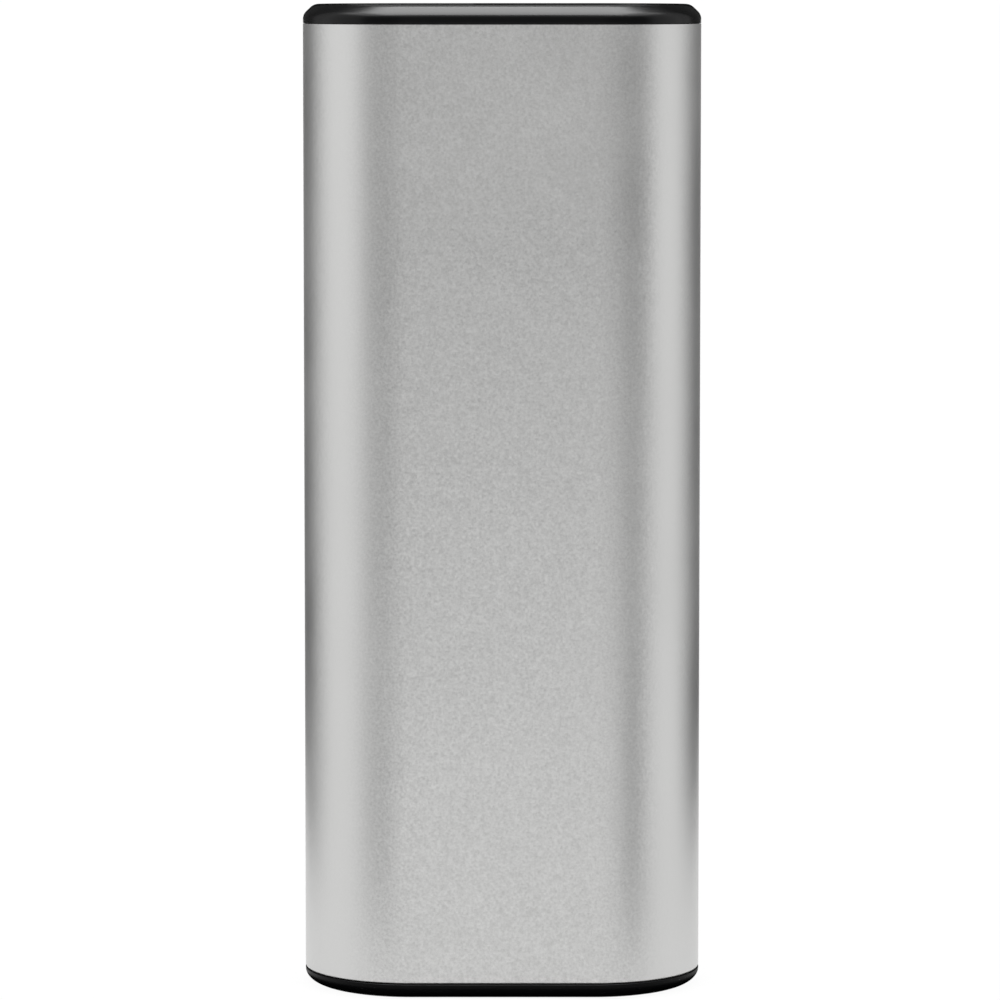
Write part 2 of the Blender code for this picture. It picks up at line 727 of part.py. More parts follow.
def make_heating():
    half = HEATER_HALF_WIDTH
    high = (CELL_BOTTOM, CELL_TOP)
    tails = (("front", -1, FRONT_TAIL_RISE, FRONT_SEAT), ("back", 1, BACK_TAIL_RISE, BACK_SEAT))
    for side, sign, rise, seat in tails:
        sheet = sorted((sign * INSULATION_Y, sign * (INSULATION_Y + INSULATION_THICKNESS)))
        box("insulation_" + side, (-half, half), sheet, high, FELT)
        film = sorted((sign * HEATER_Y, sign * (HEATER_Y + HEATER_THICKNESS)))
        heater = box("heater_" + side, (-half, half), film, high, AMBER_FILM)
        across = around(sign * TAIL_X, TAIL_WIDTH / 2)
        top = PLATE_TOP + rise
        tail = box("tail_" + side, across, film, (CELL_TOP - OVERRUN, top))
        leg_deep = sorted((seat, sign * (HEATER_Y + HEATER_THICKNESS)))
        leg = box("leg_" + side, across, leg_deep, (top - HEATER_THICKNESS, top))
        fuse(heater, tail, leg)


def make_sensor():
    front = RIB_Y - CHANNEL_DEPTH + GAP
    back = INSULATION_Y - GAP
    bottom = CELL_BOTTOM + THERMISTOR_RISE
    top = bottom + THERMISTOR_HEIGHT
    across = around(0, THERMISTOR_WIDTH / 2)
    box("thermistor", across, (front, back), (bottom, top), CHIP_BLACK)
    lead_y = (front + back) / 2
    turn_z = BOARD_BOTTOM + LEAD_RISE - LEAD_BEND
    points = [(0, lead_y, top + GAP)]
    for step in range(BEND_STEPS + 1):
        angle = math.pi / 2 * step / BEND_STEPS
        y = lead_y - LEAD_BEND * (1 - math.cos(angle))
        points.append((0, y, turn_z + LEAD_BEND * math.sin(angle)))
    points.append((0, BACK_SEAT, turn_z + LEAD_BEND))
    wire("sensor_lead", points, LEAD_RADIUS, WHITE_PLASTIC)


def wire(name, points, radius, look):
    curve = bpy.data.curves.new(name, "CURVE")
    curve.dimensions = "3D"
    curve.bevel_depth = radius
    curve.bevel_resolution = 2
    curve.use_fill_caps = True
    spline = curve.splines.new("POLY")
    spline.points.add(len(points) - 1)
    for point, place_at in zip(spline.points, points):
        point.co = (*place_at, 1)
    obj = bpy.data.objects.new(name, curve)
    curve.materials.append(paint(name, look))
    pieces.objects.link(obj)
    return obj


def make_outlet():
    """The outlet's sheet-metal shell, and its insulator with the tongue."""
    half_x = USB_A_WIDTH / 2
    half_y = USB_A_HEIGHT / 2
    outline = cornered_outline(half_x, half_y, USB_A_CORNER)
    high = (USB_A_BOTTOM, PORT_MOUTH)
    sleeve("usb_a_shell", outline, high, PORT_SHEET, BRIGHT_STEEL, x=USB_A_X)
    inner_x = half_x - PORT_SHEET - GAP
    inner_y = half_y - PORT_SHEET - GAP
    base_high = (USB_A_BOTTOM, USB_A_BOTTOM + USB_A_BASE)
    base_across = around(USB_A_X, inner_x)
    insert = box("usb_a_insert", base_across, (-inner_y, inner_y), base_high, WHITE_PLASTIC)
    tongue_deep = around(-USB_A_TONGUE_OFFSET, USB_A_TONGUE / 2)
    tongue_high = (USB_A_BOTTOM + USB_A_BASE / 2, PORT_MOUTH - USB_A_TONGUE_RECESS)
    tongue_across = around(USB_A_X, inner_x - USB_A_TONGUE_SIDE)
    fuse(insert, box("usb_a_tongue", tongue_across, tongue_deep, tongue_high))


def make_inlet():
    """The inlet's shell, its insulator with the tongue, and the block that lifts it."""
    half_y = USB_C_HEIGHT / 2
    flat = USB_C_WIDTH / 2 - half_y
    outline = ended_outline(flat, half_y, half_y, CORNER_STEPS * 2)
    sleeve("usb_c_shell", outline, (USB_C_BOTTOM, PORT_MOUTH), PORT_SHEET, BRIGHT_STEEL, x=USB_C_X)
    inner = half_y - PORT_SHEET - GAP
    base_outline = ended_outline(flat, inner, inner, CORNER_STEPS * 2)
    base_high = (USB_C_BOTTOM, USB_C_BOTTOM + USB_C_BASE)
    insert = prism("usb_c_insert", base_outline, base_high, CHIP_BLACK, x=USB_C_X)
    tongue_across = around(USB_C_X, USB_C_TONGUE_WIDTH / 2)
    tongue_high = (USB_C_BOTTOM + USB_C_BASE / 2, PORT_MOUTH - USB_C_TONGUE_RECESS)
    tongue_deep = around(0, USB_C_TONGUE / 2)
    fuse(insert, box("usb_c_tongue", tongue_across, tongue_deep, tongue_high))
    riser_across = around(USB_C_X, flat + half_y)
    riser_deep = (BACK_SEAT, -half_y - GAP)
    box("usb_c_riser", riser_across, riser_deep, (USB_C_BOTTOM, BOARD_TOP), CHIP_BLACK)


def make_button():
    profile = [
        (0, BODY_TOP - BUTTON_RECESS),
        (BUTTON_RADIUS - BUTTON_EDGE, BODY_TOP - BUTTON_RECESS),
        (BUTTON_RADIUS, BODY_TOP - BUTTON_RECESS - BUTTON_EDGE),
        (BUTTON_RADIUS, FLANGE_TOP),
        (BUTTON_RADIUS + BUTTON_LIP, FLANGE_TOP),
        (BUTTON_RADIUS + BUTTON_LIP, FLANGE_BOTTOM),
        (0, FLANGE_BOTTOM),
    ]
    drop = BODY_TOP
    local = [(radius, height - drop) for radius, height in profile]
    button = turned("power_button", local, (BUTTON_X, 0, drop), BLACK_PLASTIC)
    stem_high = (STEM_BOTTOM, FLANGE_BOTTOM + BUTTON_FLANGE / 2)
    fuse(button, cylinder("button_stem", BUTTON_STEM_RADIUS, stem_high, BUTTON_X, PLUNGER_Y))


def make_switch():
    across = around(BUTTON_X, SWITCH_WIDTH / 2)
    deep = (BACK_SEAT, BACK_SEAT + SWITCH_DEPTH)
    body = box("switch_body", across, deep, (SWITCH_BOTTOM, SWITCH_TOP), CHIP_BLACK)
    well = (PLUNGER_BOTTOM - BUTTON_TRAVEL - GAP, SWITCH_TOP + OVERRUN)
    cut(body, cylinder("cut_plunger", PLUNGER_RADIUS + GAP, well, BUTTON_X, PLUNGER_Y))
    span = (PLUNGER_BOTTOM, PLUNGER_TOP)
    cylinder("switch_plunger", PLUNGER_RADIUS, span, BUTTON_X, PLUNGER_Y, WHITE_PLASTIC)


def light_places():
    return [LED_PITCH * index - LED_ROW_X for index in range(LED_COUNT)]


def make_lights():
    """The lights on the board's front face, and the clear guide with a pip for each."""
    led_deep = (FRONT_SEAT - LED_DEPTH, FRONT_SEAT)
    for number, x in enumerate(light_places(), 1):
        across = around(x, LED_WIDTH / 2)
        high = (LED_TOP - LED_HEIGHT, LED_TOP)
        box(f"status_led_{number}", across, led_deep, high, WHITE_PLASTIC)
    half = LED_ROW_X + LED_WIDTH
    bar_deep = (FRONT_SEAT - GUIDE_DEPTH, FRONT_SEAT)
    guide = box("light_guide", (-half, half), bar_deep, (GUIDE_BOTTOM, GUIDE_TOP), CLEAR_PLASTIC)
    pip_high = (GUIDE_BOTTOM + GUIDE_BAR / 2, BODY_TOP - PIP_RECESS)
    for number, x in enumerate(light_places(), 1):
        fuse(guide, cylinder(f"pip_{number}", PIP_RADIUS, pip_high, x, PIP_Y))


def make_board_parts():
    """Chips on the board's front face, the inductor and capacitors on its back."""
    chip_deep = (FRONT_SEAT - CHIP_THICKNESS, FRONT_SEAT)
    chip_bottom = BOARD_BOTTOM + CONTROLLER_RISE
    half = CONTROLLER_SIZE / 2
    high = (chip_bottom, chip_bottom + CONTROLLER_SIZE)
    box("controller_chip", around(-half, half), chip_deep, high, CHIP_BLACK)
    charger_across = (CHARGER_SPACING, CHARGER_SPACING + CHARGER_SIZE)
    charger_high = (chip_bottom, chip_bottom + CHARGER_SIZE)
    box("charger_chip", charger_across, chip_deep, charger_high, CHIP_BLACK)
    inductor_across = (-THERMISTOR_WIDTH - INDUCTOR_SIZE, -THERMISTOR_WIDTH)
    inductor_bottom = BOARD_BOTTOM + INDUCTOR_RISE
    inductor_high = (inductor_bottom, inductor_bottom + INDUCTOR_SIZE)
    inductor_deep = (BACK_SEAT, BACK_SEAT + INDUCTOR_HEIGHT)
    box("inductor", inductor_across, inductor_deep, inductor_high, FERRITE)
    make_capacitors()


def make_capacitors():
    profile = [
        (0, CAPACITOR_HEIGHT),
        (CAPACITOR_RADIUS - CAPACITOR_EDGE, CAPACITOR_HEIGHT),
        (CAPACITOR_RADIUS, CAPACITOR_HEIGHT - CAPACITOR_EDGE),
        (CAPACITOR_RADIUS, 0),
        (0, 0),
    ]
    z = BOARD_BOTTOM + CAPACITOR_RISE + CAPACITOR_RADIUS
    spacing = 2 * CAPACITOR_RADIUS + PART_SPACING
    towards_back = (-math.pi / 2, 0, 0)
    for index, side in enumerate(("left", "right")):
        x = PART_SPACING + index * spacing
        turned("capacitor_" + side, profile, (x, BACK_SEAT, z), NICKEL, towards_back, SMALL_STEPS)


def make_all():
    make_shell()
    make_top_cap()
    make_bottom_cap()
    make_foot_pad()
    make_bottom_screws()
    make_carrier()
    make_cells()
    make_insulator_rings()
    make_negative_tab()
    make_positive_tab()
    make_heating()
    make_sensor()
    make_main_board()
    make_board_screws()
    make_board_parts()
    make_outlet()
    make_inlet()
    make_button()
    make_switch()
    make_lights()


make_all()
print(f"{2 * HALF_WIDTH:.5f} wide, {2 * HALF_DEPTH:.5f} deep, {BODY_TOP:.5f} high")
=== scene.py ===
import json
import math

import bmesh
import bpy
from mathutils import Matrix, Vector


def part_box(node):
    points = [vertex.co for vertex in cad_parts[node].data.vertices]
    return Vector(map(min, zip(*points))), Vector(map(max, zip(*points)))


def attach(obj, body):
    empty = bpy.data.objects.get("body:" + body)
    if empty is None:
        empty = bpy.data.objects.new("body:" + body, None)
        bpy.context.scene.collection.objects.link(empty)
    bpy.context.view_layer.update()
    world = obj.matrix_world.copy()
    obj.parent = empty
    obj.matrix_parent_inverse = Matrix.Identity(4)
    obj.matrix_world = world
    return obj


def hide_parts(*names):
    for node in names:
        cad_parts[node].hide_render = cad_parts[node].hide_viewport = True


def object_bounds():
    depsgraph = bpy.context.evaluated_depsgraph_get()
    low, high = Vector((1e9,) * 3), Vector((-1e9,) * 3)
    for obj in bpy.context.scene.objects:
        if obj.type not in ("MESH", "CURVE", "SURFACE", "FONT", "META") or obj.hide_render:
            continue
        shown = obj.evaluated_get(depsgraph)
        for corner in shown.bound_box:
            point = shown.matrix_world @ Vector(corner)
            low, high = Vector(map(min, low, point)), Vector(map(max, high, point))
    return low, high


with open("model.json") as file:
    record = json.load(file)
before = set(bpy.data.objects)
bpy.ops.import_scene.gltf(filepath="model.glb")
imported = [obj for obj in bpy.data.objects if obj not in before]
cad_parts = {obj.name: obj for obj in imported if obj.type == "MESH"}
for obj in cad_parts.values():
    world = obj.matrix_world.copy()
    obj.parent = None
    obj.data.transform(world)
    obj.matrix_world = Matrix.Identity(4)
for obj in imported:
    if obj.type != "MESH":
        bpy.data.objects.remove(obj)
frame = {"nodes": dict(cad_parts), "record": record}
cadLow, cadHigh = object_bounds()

print("frame loaded,", len(frame["nodes"]), "nodes")


# Materials

def linear(hexColour):
    channels = [int(hexColour[start:start + 2], 16) / 255 for start in (1, 3, 5)]
    return [c / 12.92 if c <= 0.04045 else ((c + 0.055) / 1.055) ** 2.4 for c in channels] + [1]


def addNode(tree, kind, inputs, **settings):
    node = tree.nodes.new(kind)
    for name, value in settings.items():
        setattr(node, name, value)
    for name, value in inputs.items():
        if isinstance(value, bpy.types.NodeSocket):
            tree.links.new(value, node.inputs[name])
        else:
            node.inputs[name].default_value = value
    return node


def startMaterial(name, colour, roughness, sockets):
    material = bpy.data.materials.new(name)
    material.use_nodes = True
    tree = material.node_tree
    shader = tree.nodes["Principled BSDF"]
    shader.inputs["Base Color"].default_value = linear(colour)
    shader.inputs["Roughness"].default_value = roughness
    for socket, value in sockets.items():
        shader.inputs[socket].default_value = value
    place = addNode(tree, "ShaderNodeTexCoord", {}).outputs["Object"]
    return material, tree, shader, place


def perMetre(sizeMm):
    return 1000 / sizeMm  # how many features of that size a metre holds


blasted = {
    "colour": "#cfcfce",  # clear-anodised aluminium, very slightly warm
    "dark": "#ababaa",  # the darkest of the grain and painted glints
    "light": "#ebebea",
    "roughness": (0.36, 0.44),
    "dentMm": 0.27,  # clusters of bead dents, as coarse as they need to show
    "dentTilt": 0.2,  # how far a dent turns the surface
    "paintedGlintFullTo": 0.0125,  # the colour speckle, partly painted glints, shows in full on the flats up to here from the middle
    "paintedGlintGoneFrom": 0.016,  # and is gone from here: the painted glints fade out on the rounded ends, whose highlight is smooth under these lights
    "driftMm": 18,  # slow drift of the finish along the tube
}


def makeBlastedAluminium():
    # 6063 aluminium, extruded, bead blasted and clear anodised: satin grey, with a frosty sparkle that is partly
    # painted into the colour as glints
    material, tree, shader, place = startMaterial(
        "beadBlastedAnodisedAluminium", blasted["colour"], blasted["roughness"][0], {"Metallic": 1})
    dents = addNode(tree, "ShaderNodeTexNoise", {
        "Vector": place, "Scale": perMetre(blasted["dentMm"]), "Detail": 3, "Roughness": 0.65})
    drift = addNode(tree, "ShaderNodeTexNoise", {
        "Vector": place, "Scale": perMetre(blasted["driftMm"]), "Detail": 3})
    parts = addNode(tree, "ShaderNodeSeparateXYZ", {"Vector": place})
    side = addNode(tree, "ShaderNodeMath", {0: parts.outputs["X"]}, operation="ABSOLUTE")
    # painted glints: the grain's colour speckle is full on the flats and fades out on the rounded ends, where the
    # lights give a smooth highlight
    paintedGlintShare = addNode(tree, "ShaderNodeMapRange", {
        "Value": side.outputs[0], "From Min": blasted["paintedGlintFullTo"], "From Max": blasted["paintedGlintGoneFrom"],
        "To Min": 1, "To Max": 0})
    spread = addNode(tree, "ShaderNodeMath", {0: dents.outputs["Fac"], 1: 0.5}, operation="SUBTRACT")
    grainAndPaintedGlint = addNode(tree, "ShaderNodeMath", {
        0: spread.outputs[0], 1: paintedGlintShare.outputs["Result"], 2: 0.5}, operation="MULTIPLY_ADD")
    tint = addNode(tree, "ShaderNodeMix", {
        "Factor": grainAndPaintedGlint.outputs[0], "A": linear(blasted["dark"]), "B": linear(blasted["light"])},
        data_type="RGBA")
    tree.links.new(tint.outputs["Result"], shader.inputs["Base Color"])
    rough = addNode(tree, "ShaderNodeMapRange", {
        "Value": drift.outputs["Fac"], "From Min": 0.3, "From Max": 0.7,
        "To Min": blasted["roughness"][0], "To Max": blasted["roughness"][1]})
    tree.links.new(rough.outputs["Result"], shader.inputs["Roughness"])
    # each dent turns the surface its own way
    ways = addNode(tree, "ShaderNodeVectorMath", {0: dents.outputs["Color"], 1: (0.5, 0.5, 0.5)},
                   operation="SUBTRACT")
    flat = addNode(tree, "ShaderNodeNewGeometry", {})
    turned = addNode(tree, "ShaderNodeVectorMath", {
        0: ways.outputs[0], 1: [blasted["dentTilt"]] * 3, 2: flat.outputs["Normal"]}, operation="MULTIPLY_ADD")
    unit = addNode(tree, "ShaderNodeVectorMath", {0: turned.outputs[0]}, operation="NORMALIZE")
    tree.links.new(unit.outputs[0], shader.inputs["Normal"])
    return material


moulded = {
    # colour, roughness from and to, grain in mm, grain depth in m, IOR, specular level
    "capPlastic": ("#070708", (0.2, 0.28), 0.22, 0.000002, 1.5, 0.18),  # ABS, fine spark-eroded texture
    "shadedCapPlastic": ("#060607", (0.38, 0.46), 0.3, 0.000003, 1.5, 0.07),  # ABS, coarser and matt; a shade darker than the cap plastic and with a low specular level, as painted shade that keeps the lower cap dark over the white floor
    "buttonPlastic": ("#161617", (0.32, 0.42), 0.14, 0.000002, 1.5, 0.18),  # ABS, a little duller
    "carrierPlastic": ("#5b5c5e", (0.45, 0.6), 0.3, 0.000004, 1.55, 0.5),  # PC and ABS blend
    "whiteInsulator": ("#e4e3dd", (0.35, 0.48), 0.25, 0.000003, 1.65, 0.5),  # liquid-crystal polymer
    "blackInsulator": ("#202022", (0.38, 0.5), 0.2, 0.000003, 1.6, 0.5),  # glass-filled nylon
    "padRubber": ("#19191a", (0.72, 0.86), 0.35, 0.00001, 1.42, 0.5),  # moulded silicone rubber
    "pressedFerrite": ("#4a4a4d", (0.6, 0.75), 0.12, 0.000008, 1.9, 0.5),  # sintered ferrite powder
    "ledPhosphor": ("#d8c552", (0.3, 0.4), 0.1, 0.000004, 1.41, 0.5),  # yellow phosphor in silicone
}


def makeMoulded(name):
    # Moulded pieces: an even colour with a fine grain that breaks up the gloss
    colour, (smooth, dull), grainMm, depth, ior, specular = moulded[name]
    material, tree, shader, place = startMaterial(
        name, colour, smooth, {"IOR": ior, "Specular IOR Level": specular})
    grain = addNode(tree, "ShaderNodeTexNoise", {
        "Vector": place, "Scale": perMetre(grainMm), "Detail": 3, "Roughness": 0.55})
    cloud = addNode(tree, "ShaderNodeTexNoise", {
        "Vector": place, "Scale": perMetre(40 * grainMm), "Detail": 2})
    rough = addNode(tree, "ShaderNodeMapRange", {
        "Value": cloud.outputs["Fac"], "From Min": 0.3, "From Max": 0.7,
        "To Min": smooth, "To Max": dull})
    tree.links.new(rough.outputs["Result"], shader.inputs["Roughness"])
    bump = addNode(tree, "ShaderNodeBump", {
        "Height": grain.outputs["Fac"], "Strength": 0.4, "Distance": depth})
    tree.links.new(bump.outputs["Normal"], shader.inputs["Normal"])
    return material


plated = {
    # colour, roughness from and to, mark size across and along in mm, mark depth in m
    "portSteel": ("#c8c6c1", 0.2, 0.32, (0.06, 2.5), 0.000002),  # bright nickel over drawn steel
    "zincScrew": ("#b3b8be", 0.26, 0.4, (0.3, 0.3), 0.000004),  # blue-white zinc plating
    "nickelStrip": ("#c3bdae", 0.24, 0.38, (0.05, 1.5), 0.000002),  # rolled nickel
    "goldContact": ("#e0bb63", 0.16, 0.26, (0.05, 0.6), 0.000001),  # hard gold plating
    "canAluminium": ("#c4c5c7", 0.28, 0.4, (0.08, 1.2), 0.000002),  # capacitor can
}


def makePlated(name):
    # Metal pieces: fine marks along the way each was drawn or rolled, which stretch the highlight
    colour, smooth, dull, (across, along), depth = plated[name]
    material, tree, shader, place = startMaterial(name, colour, smooth, {"Metallic": 1})
    stretched = addNode(tree, "ShaderNodeVectorMath", {
        0: place, 1: (perMetre(across), perMetre(across), perMetre(along))}, operation="MULTIPLY")
    marks = addNode(tree, "ShaderNodeTexNoise", {"Vector": stretched.outputs[0], "Scale": 1, "Detail": 3})
    rough = addNode(tree, "ShaderNodeMapRange", {
        "Value": marks.outputs["Fac"], "From Min": 0.3, "From Max": 0.7, "To Min": smooth, "To Max": dull})
    tree.links.new(rough.outputs["Result"], shader.inputs["Roughness"])
    bump = addNode(tree, "ShaderNodeBump", {
        "Height": marks.outputs["Fac"], "Strength": 0.3, "Distance": depth})
    tree.links.new(bump.outputs["Normal"], shader.inputs["Normal"])
    return material


cellWrap = {"blue": "#2a5fa8", "edge": "#1f4c8b", "steel": "#bab9b5", "wrapReach": 0.0082, "wrinkleMm": 6}


def makeCellWrap():
    # PVC film shrunk on a steel can: glossy, a little wavy, with bare steel showing at the ends
    material, tree, shader, place = startMaterial("shrunkPvcFilm", cellWrap["blue"], 0.22, {"IOR": 1.53})
    low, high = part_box("cell_right")
    axis = (low.x + high.x) / 2
    folded = addNode(tree, "ShaderNodeVectorMath", {0: place}, operation="ABSOLUTE")
    offset = addNode(tree, "ShaderNodeVectorMath", {0: folded.outputs[0], 1: (axis, 0, 0)},
                     operation="SUBTRACT")
    flat = addNode(tree, "ShaderNodeVectorMath", {0: offset.outputs[0], 1: (1, 1, 0)}, operation="MULTIPLY")
    reach = addNode(tree, "ShaderNodeVectorMath", {0: flat.outputs[0]}, operation="LENGTH")
    bare = addNode(tree, "ShaderNodeMath", {0: reach.outputs["Value"], 1: cellWrap["wrapReach"]},
                   operation="LESS_THAN")
    waves = addNode(tree, "ShaderNodeTexNoise", {
        "Vector": place, "Scale": perMetre(cellWrap["wrinkleMm"]), "Detail": 2})
    tint = addNode(tree, "ShaderNodeMix", {
        "Factor": waves.outputs["Fac"], "A": linear(cellWrap["blue"]), "B": linear(cellWrap["edge"])},
        data_type="RGBA")
    colour = addNode(tree, "ShaderNodeMix", {
        "Factor": bare.outputs[0], "A": tint.outputs["Result"], "B": linear(cellWrap["steel"])},
        data_type="RGBA")
    tree.links.new(colour.outputs["Result"], shader.inputs["Base Color"])
    tree.links.new(bare.outputs[0], shader.inputs["Metallic"])
    rough = addNode(tree, "ShaderNodeMapRange", {"Value": waves.outputs["Fac"], "To Min": 0.18, "To Max": 0.3})
    tree.links.new(rough.outputs["Result"], shader.inputs["Roughness"])
    bump = addNode(tree, "ShaderNodeBump", {
        "Height": waves.outputs["Fac"], "Strength": 0.5, "Distance": 0.00004})
    tree.links.new(bump.outputs["Normal"], shader.inputs["Normal"])
    return material


fibrous = {
    # colour, darker fibres, roughness, fibre width and length in mm, depth in m, sheen
    "pressedCard": ("#dcd6c6", "#c3b99f", 0.85, (0.08, 0.9), 0.00001, 0),
    "needledFelt": ("#c9c5ba", "#9f998b", 0.95, (0.05, 1.6), 0.00009, 0.5),
}


def makeFibrous(name):
    # Paper and felt: two crossed sets of fibres, matt, with a soft edge to the light
    colour, dark, roughness, (width, length), depth, sheen = fibrous[name]
    material, tree, shader, place = startMaterial(
        name, colour, roughness, {"Sheen Weight": sheen, "Sheen Roughness": 0.5})
    lying = addNode(tree, "ShaderNodeVectorMath", {
        0: place, 1: (perMetre(length), perMetre(width), perMetre(width))}, operation="MULTIPLY")
    standing = addNode(tree, "ShaderNodeVectorMath", {
        0: place, 1: (perMetre(width), perMetre(width), perMetre(length))}, operation="MULTIPLY")
    sets = [addNode(tree, "ShaderNodeTexNoise", {
        "Vector": way.outputs[0], "Scale": 1, "Detail": 2, "Distortion": 0.8}) for way in (lying, standing)]
    fibres = addNode(tree, "ShaderNodeMath", {0: sets[0].outputs["Fac"], 1: sets[1].outputs["Fac"]},
                     operation="MAXIMUM")
    share = addNode(tree, "ShaderNodeMapRange", {
        "Value": fibres.outputs[0], "From Min": 0.45, "From Max": 0.75})
    tint = addNode(tree, "ShaderNodeMix", {
        "Factor": share.outputs["Result"], "A": linear(dark), "B": linear(colour)}, data_type="RGBA")
    tree.links.new(tint.outputs["Result"], shader.inputs["Base Color"])
    bump = addNode(tree, "ShaderNodeBump", {"Height": fibres.outputs[0], "Strength": 0.8, "Distance": depth})
    tree.links.new(bump.outputs["Normal"], shader.inputs["Normal"])
    return material


heaterFilm = {
    "film": "#a8581a",
    "track": "#6f3d18",  # etched foil seen through the film
    "pitch": 0.0016,
    "trackHalf": 0.00052,
    "margin": 0.0012,
    "turn": 0.0011,
}


def makeHeaterFilm():
    # Polyimide film, glossy amber, over a heating track that runs to and fro across it
    material, tree, shader, place = startMaterial(
        "polyimideHeaterFilm", heaterFilm["film"], 0.2, {"IOR": 1.7, "Coat Weight": 0.6, "Coat Roughness": 0.08})
    low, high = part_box("heater_back")
    parts = addNode(tree, "ShaderNodeSeparateXYZ", {"Vector": place})
    row = addNode(tree, "ShaderNodeMath", {0: parts.outputs["Z"], 1: heaterFilm["pitch"]}, operation="PINGPONG")
    run = addNode(tree, "ShaderNodeMath", {0: row.outputs[0], 1: 0, 2: heaterFilm["trackHalf"]},
                  operation="COMPARE")
    far = addNode(tree, "ShaderNodeMath", {0: parts.outputs["Z"], 1: math.pi / (2 * heaterFilm["pitch"])},
                  operation="MULTIPLY")
    swing = addNode(tree, "ShaderNodeMath", {0: far.outputs[0]}, operation="SINE")
    side = addNode(tree, "ShaderNodeMath", {0: swing.outputs[0]}, operation="SIGN")
    across = addNode(tree, "ShaderNodeMath", {0: parts.outputs["X"], 1: side.outputs[0]}, operation="MULTIPLY")
    reach = high.x - heaterFilm["margin"]
    turned = addNode(tree, "ShaderNodeMath", {0: across.outputs[0], 1: reach - heaterFilm["turn"]},
                     operation="GREATER_THAN")
    either = addNode(tree, "ShaderNodeMath", {0: run.outputs[0], 1: turned.outputs[0]}, operation="MAXIMUM")
    inside = addNode(tree, "ShaderNodeMath", {0: parts.outputs["X"], 1: 0, 2: reach}, operation="COMPARE")
    track = addNode(tree, "ShaderNodeMath", {0: either.outputs[0], 1: inside.outputs[0]}, operation="MULTIPLY")
    tint = addNode(tree, "ShaderNodeMix", {
        "Factor": track.outputs[0], "A": linear(heaterFilm["film"]), "B": linear(heaterFilm["track"])},
        data_type="RGBA")
    tree.links.new(tint.outputs["Result"], shader.inputs["Base Color"])
    ripple = addNode(tree, "ShaderNodeTexNoise", {"Vector": place, "Scale": perMetre(5), "Detail": 2})
    height = addNode(tree, "ShaderNodeMath", {0: track.outputs[0], 1: ripple.outputs["Fac"]}, operation="ADD")
    bump = addNode(tree, "ShaderNodeBump", {"Height": height.outputs[0], "Strength": 0.5, "Distance": 0.00002})
    tree.links.new(bump.outputs["Normal"], shader.inputs["Normal"])
    return material


board = {
    "mask": "#0d4a2b",
    "copper": "#1c6b40",  # tracks under the mask
    "via": "#b9a05a",
    "laminate": "#b5a878",
    "trackMm": 1.1,
    "viaMm": 2.2,
    "skin": 0.00006,
}


def makeBoard():
    # Glass-fibre board under green solder mask: copper areas show lighter, with plated vias
    material, tree, shader, place = startMaterial(
        "solderMaskOnLaminate", board["mask"], 0.3, {"IOR": 1.55, "Coat Weight": 0.3, "Coat Roughness": 0.15})
    low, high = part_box("main_board")
    cells = addNode(tree, "ShaderNodeTexVoronoi", {
        "Vector": place, "Scale": perMetre(board["trackMm"]), "Randomness": 0.65}, distance="CHEBYCHEV")
    blocks = addNode(tree, "ShaderNodeSeparateColor", {"Color": cells.outputs["Color"]})
    copper = addNode(tree, "ShaderNodeMath", {0: blocks.outputs["Red"], 1: 0.45}, operation="GREATER_THAN")
    dots = addNode(tree, "ShaderNodeTexVoronoi", {
        "Vector": place, "Scale": perMetre(board["viaMm"]), "Randomness": 0.8})
    via = addNode(tree, "ShaderNodeMath", {0: dots.outputs["Distance"], 1: 0.11}, operation="LESS_THAN")
    parts = addNode(tree, "ShaderNodeSeparateXYZ", {"Vector": place})
    face = addNode(tree, "ShaderNodeMath", {
        0: parts.outputs["Y"], 1: (low.y + high.y) / 2, 2: (high.y - low.y) / 2 - board["skin"]},
        operation="COMPARE")
    tint = addNode(tree, "ShaderNodeMix", {
        "Factor": copper.outputs[0], "A": linear(board["mask"]), "B": linear(board["copper"])},
        data_type="RGBA")
    dotted = addNode(tree, "ShaderNodeMix", {
        "Factor": via.outputs[0], "A": tint.outputs["Result"], "B": linear(board["via"])}, data_type="RGBA")
    edged = addNode(tree, "ShaderNodeMix", {
        "Factor": face.outputs[0], "A": dotted.outputs["Result"], "B": linear(board["laminate"])},
        data_type="RGBA")
    tree.links.new(edged.outputs["Result"], shader.inputs["Base Color"])
    rough = addNode(tree, "ShaderNodeMapRange", {"Value": face.outputs[0], "To Min": 0.28, "To Max": 0.8})
    tree.links.new(rough.outputs["Result"], shader.inputs["Roughness"])
    bump = addNode(tree, "ShaderNodeBump", {
        "Height": copper.outputs[0], "Strength": 0.5, "Distance": 0.00003})
    tree.links.new(bump.outputs["Normal"], shader.inputs["Normal"])
    return material


def makeClearGuide():
    # Polycarbonate light guide: clear, slightly milky, with the flow marks of moulding
    material, tree, shader, place = startMaterial(
        "clearPolycarbonate", "#f1f4f6", 0.12, {"IOR": 1.585, "Transmission Weight": 0.9})
    flow = addNode(tree, "ShaderNodeTexNoise", {"Vector": place, "Scale": perMetre(0.6), "Detail": 2})
    rough = addNode(tree, "ShaderNodeMapRange", {"Value": flow.outputs["Fac"], "To Min": 0.08, "To Max": 0.24})
    tree.links.new(rough.outputs["Result"], shader.inputs["Roughness"])
    bump = addNode(tree, "ShaderNodeBump", {
        "Height": flow.outputs["Fac"], "Strength": 0.3, "Distance": 0.00001})
    tree.links.new(bump.outputs["Normal"], shader.inputs["Normal"])
    return material


buttonMark = {
    "white": "#c4c6c8",
    "ring": 0.0011,
    "line": 0.00009,  # half the width of the printed line
    "gap": 0.0004,
    "bar": (0.0009, 0.00045),  # middle of the bar, and half its length
}


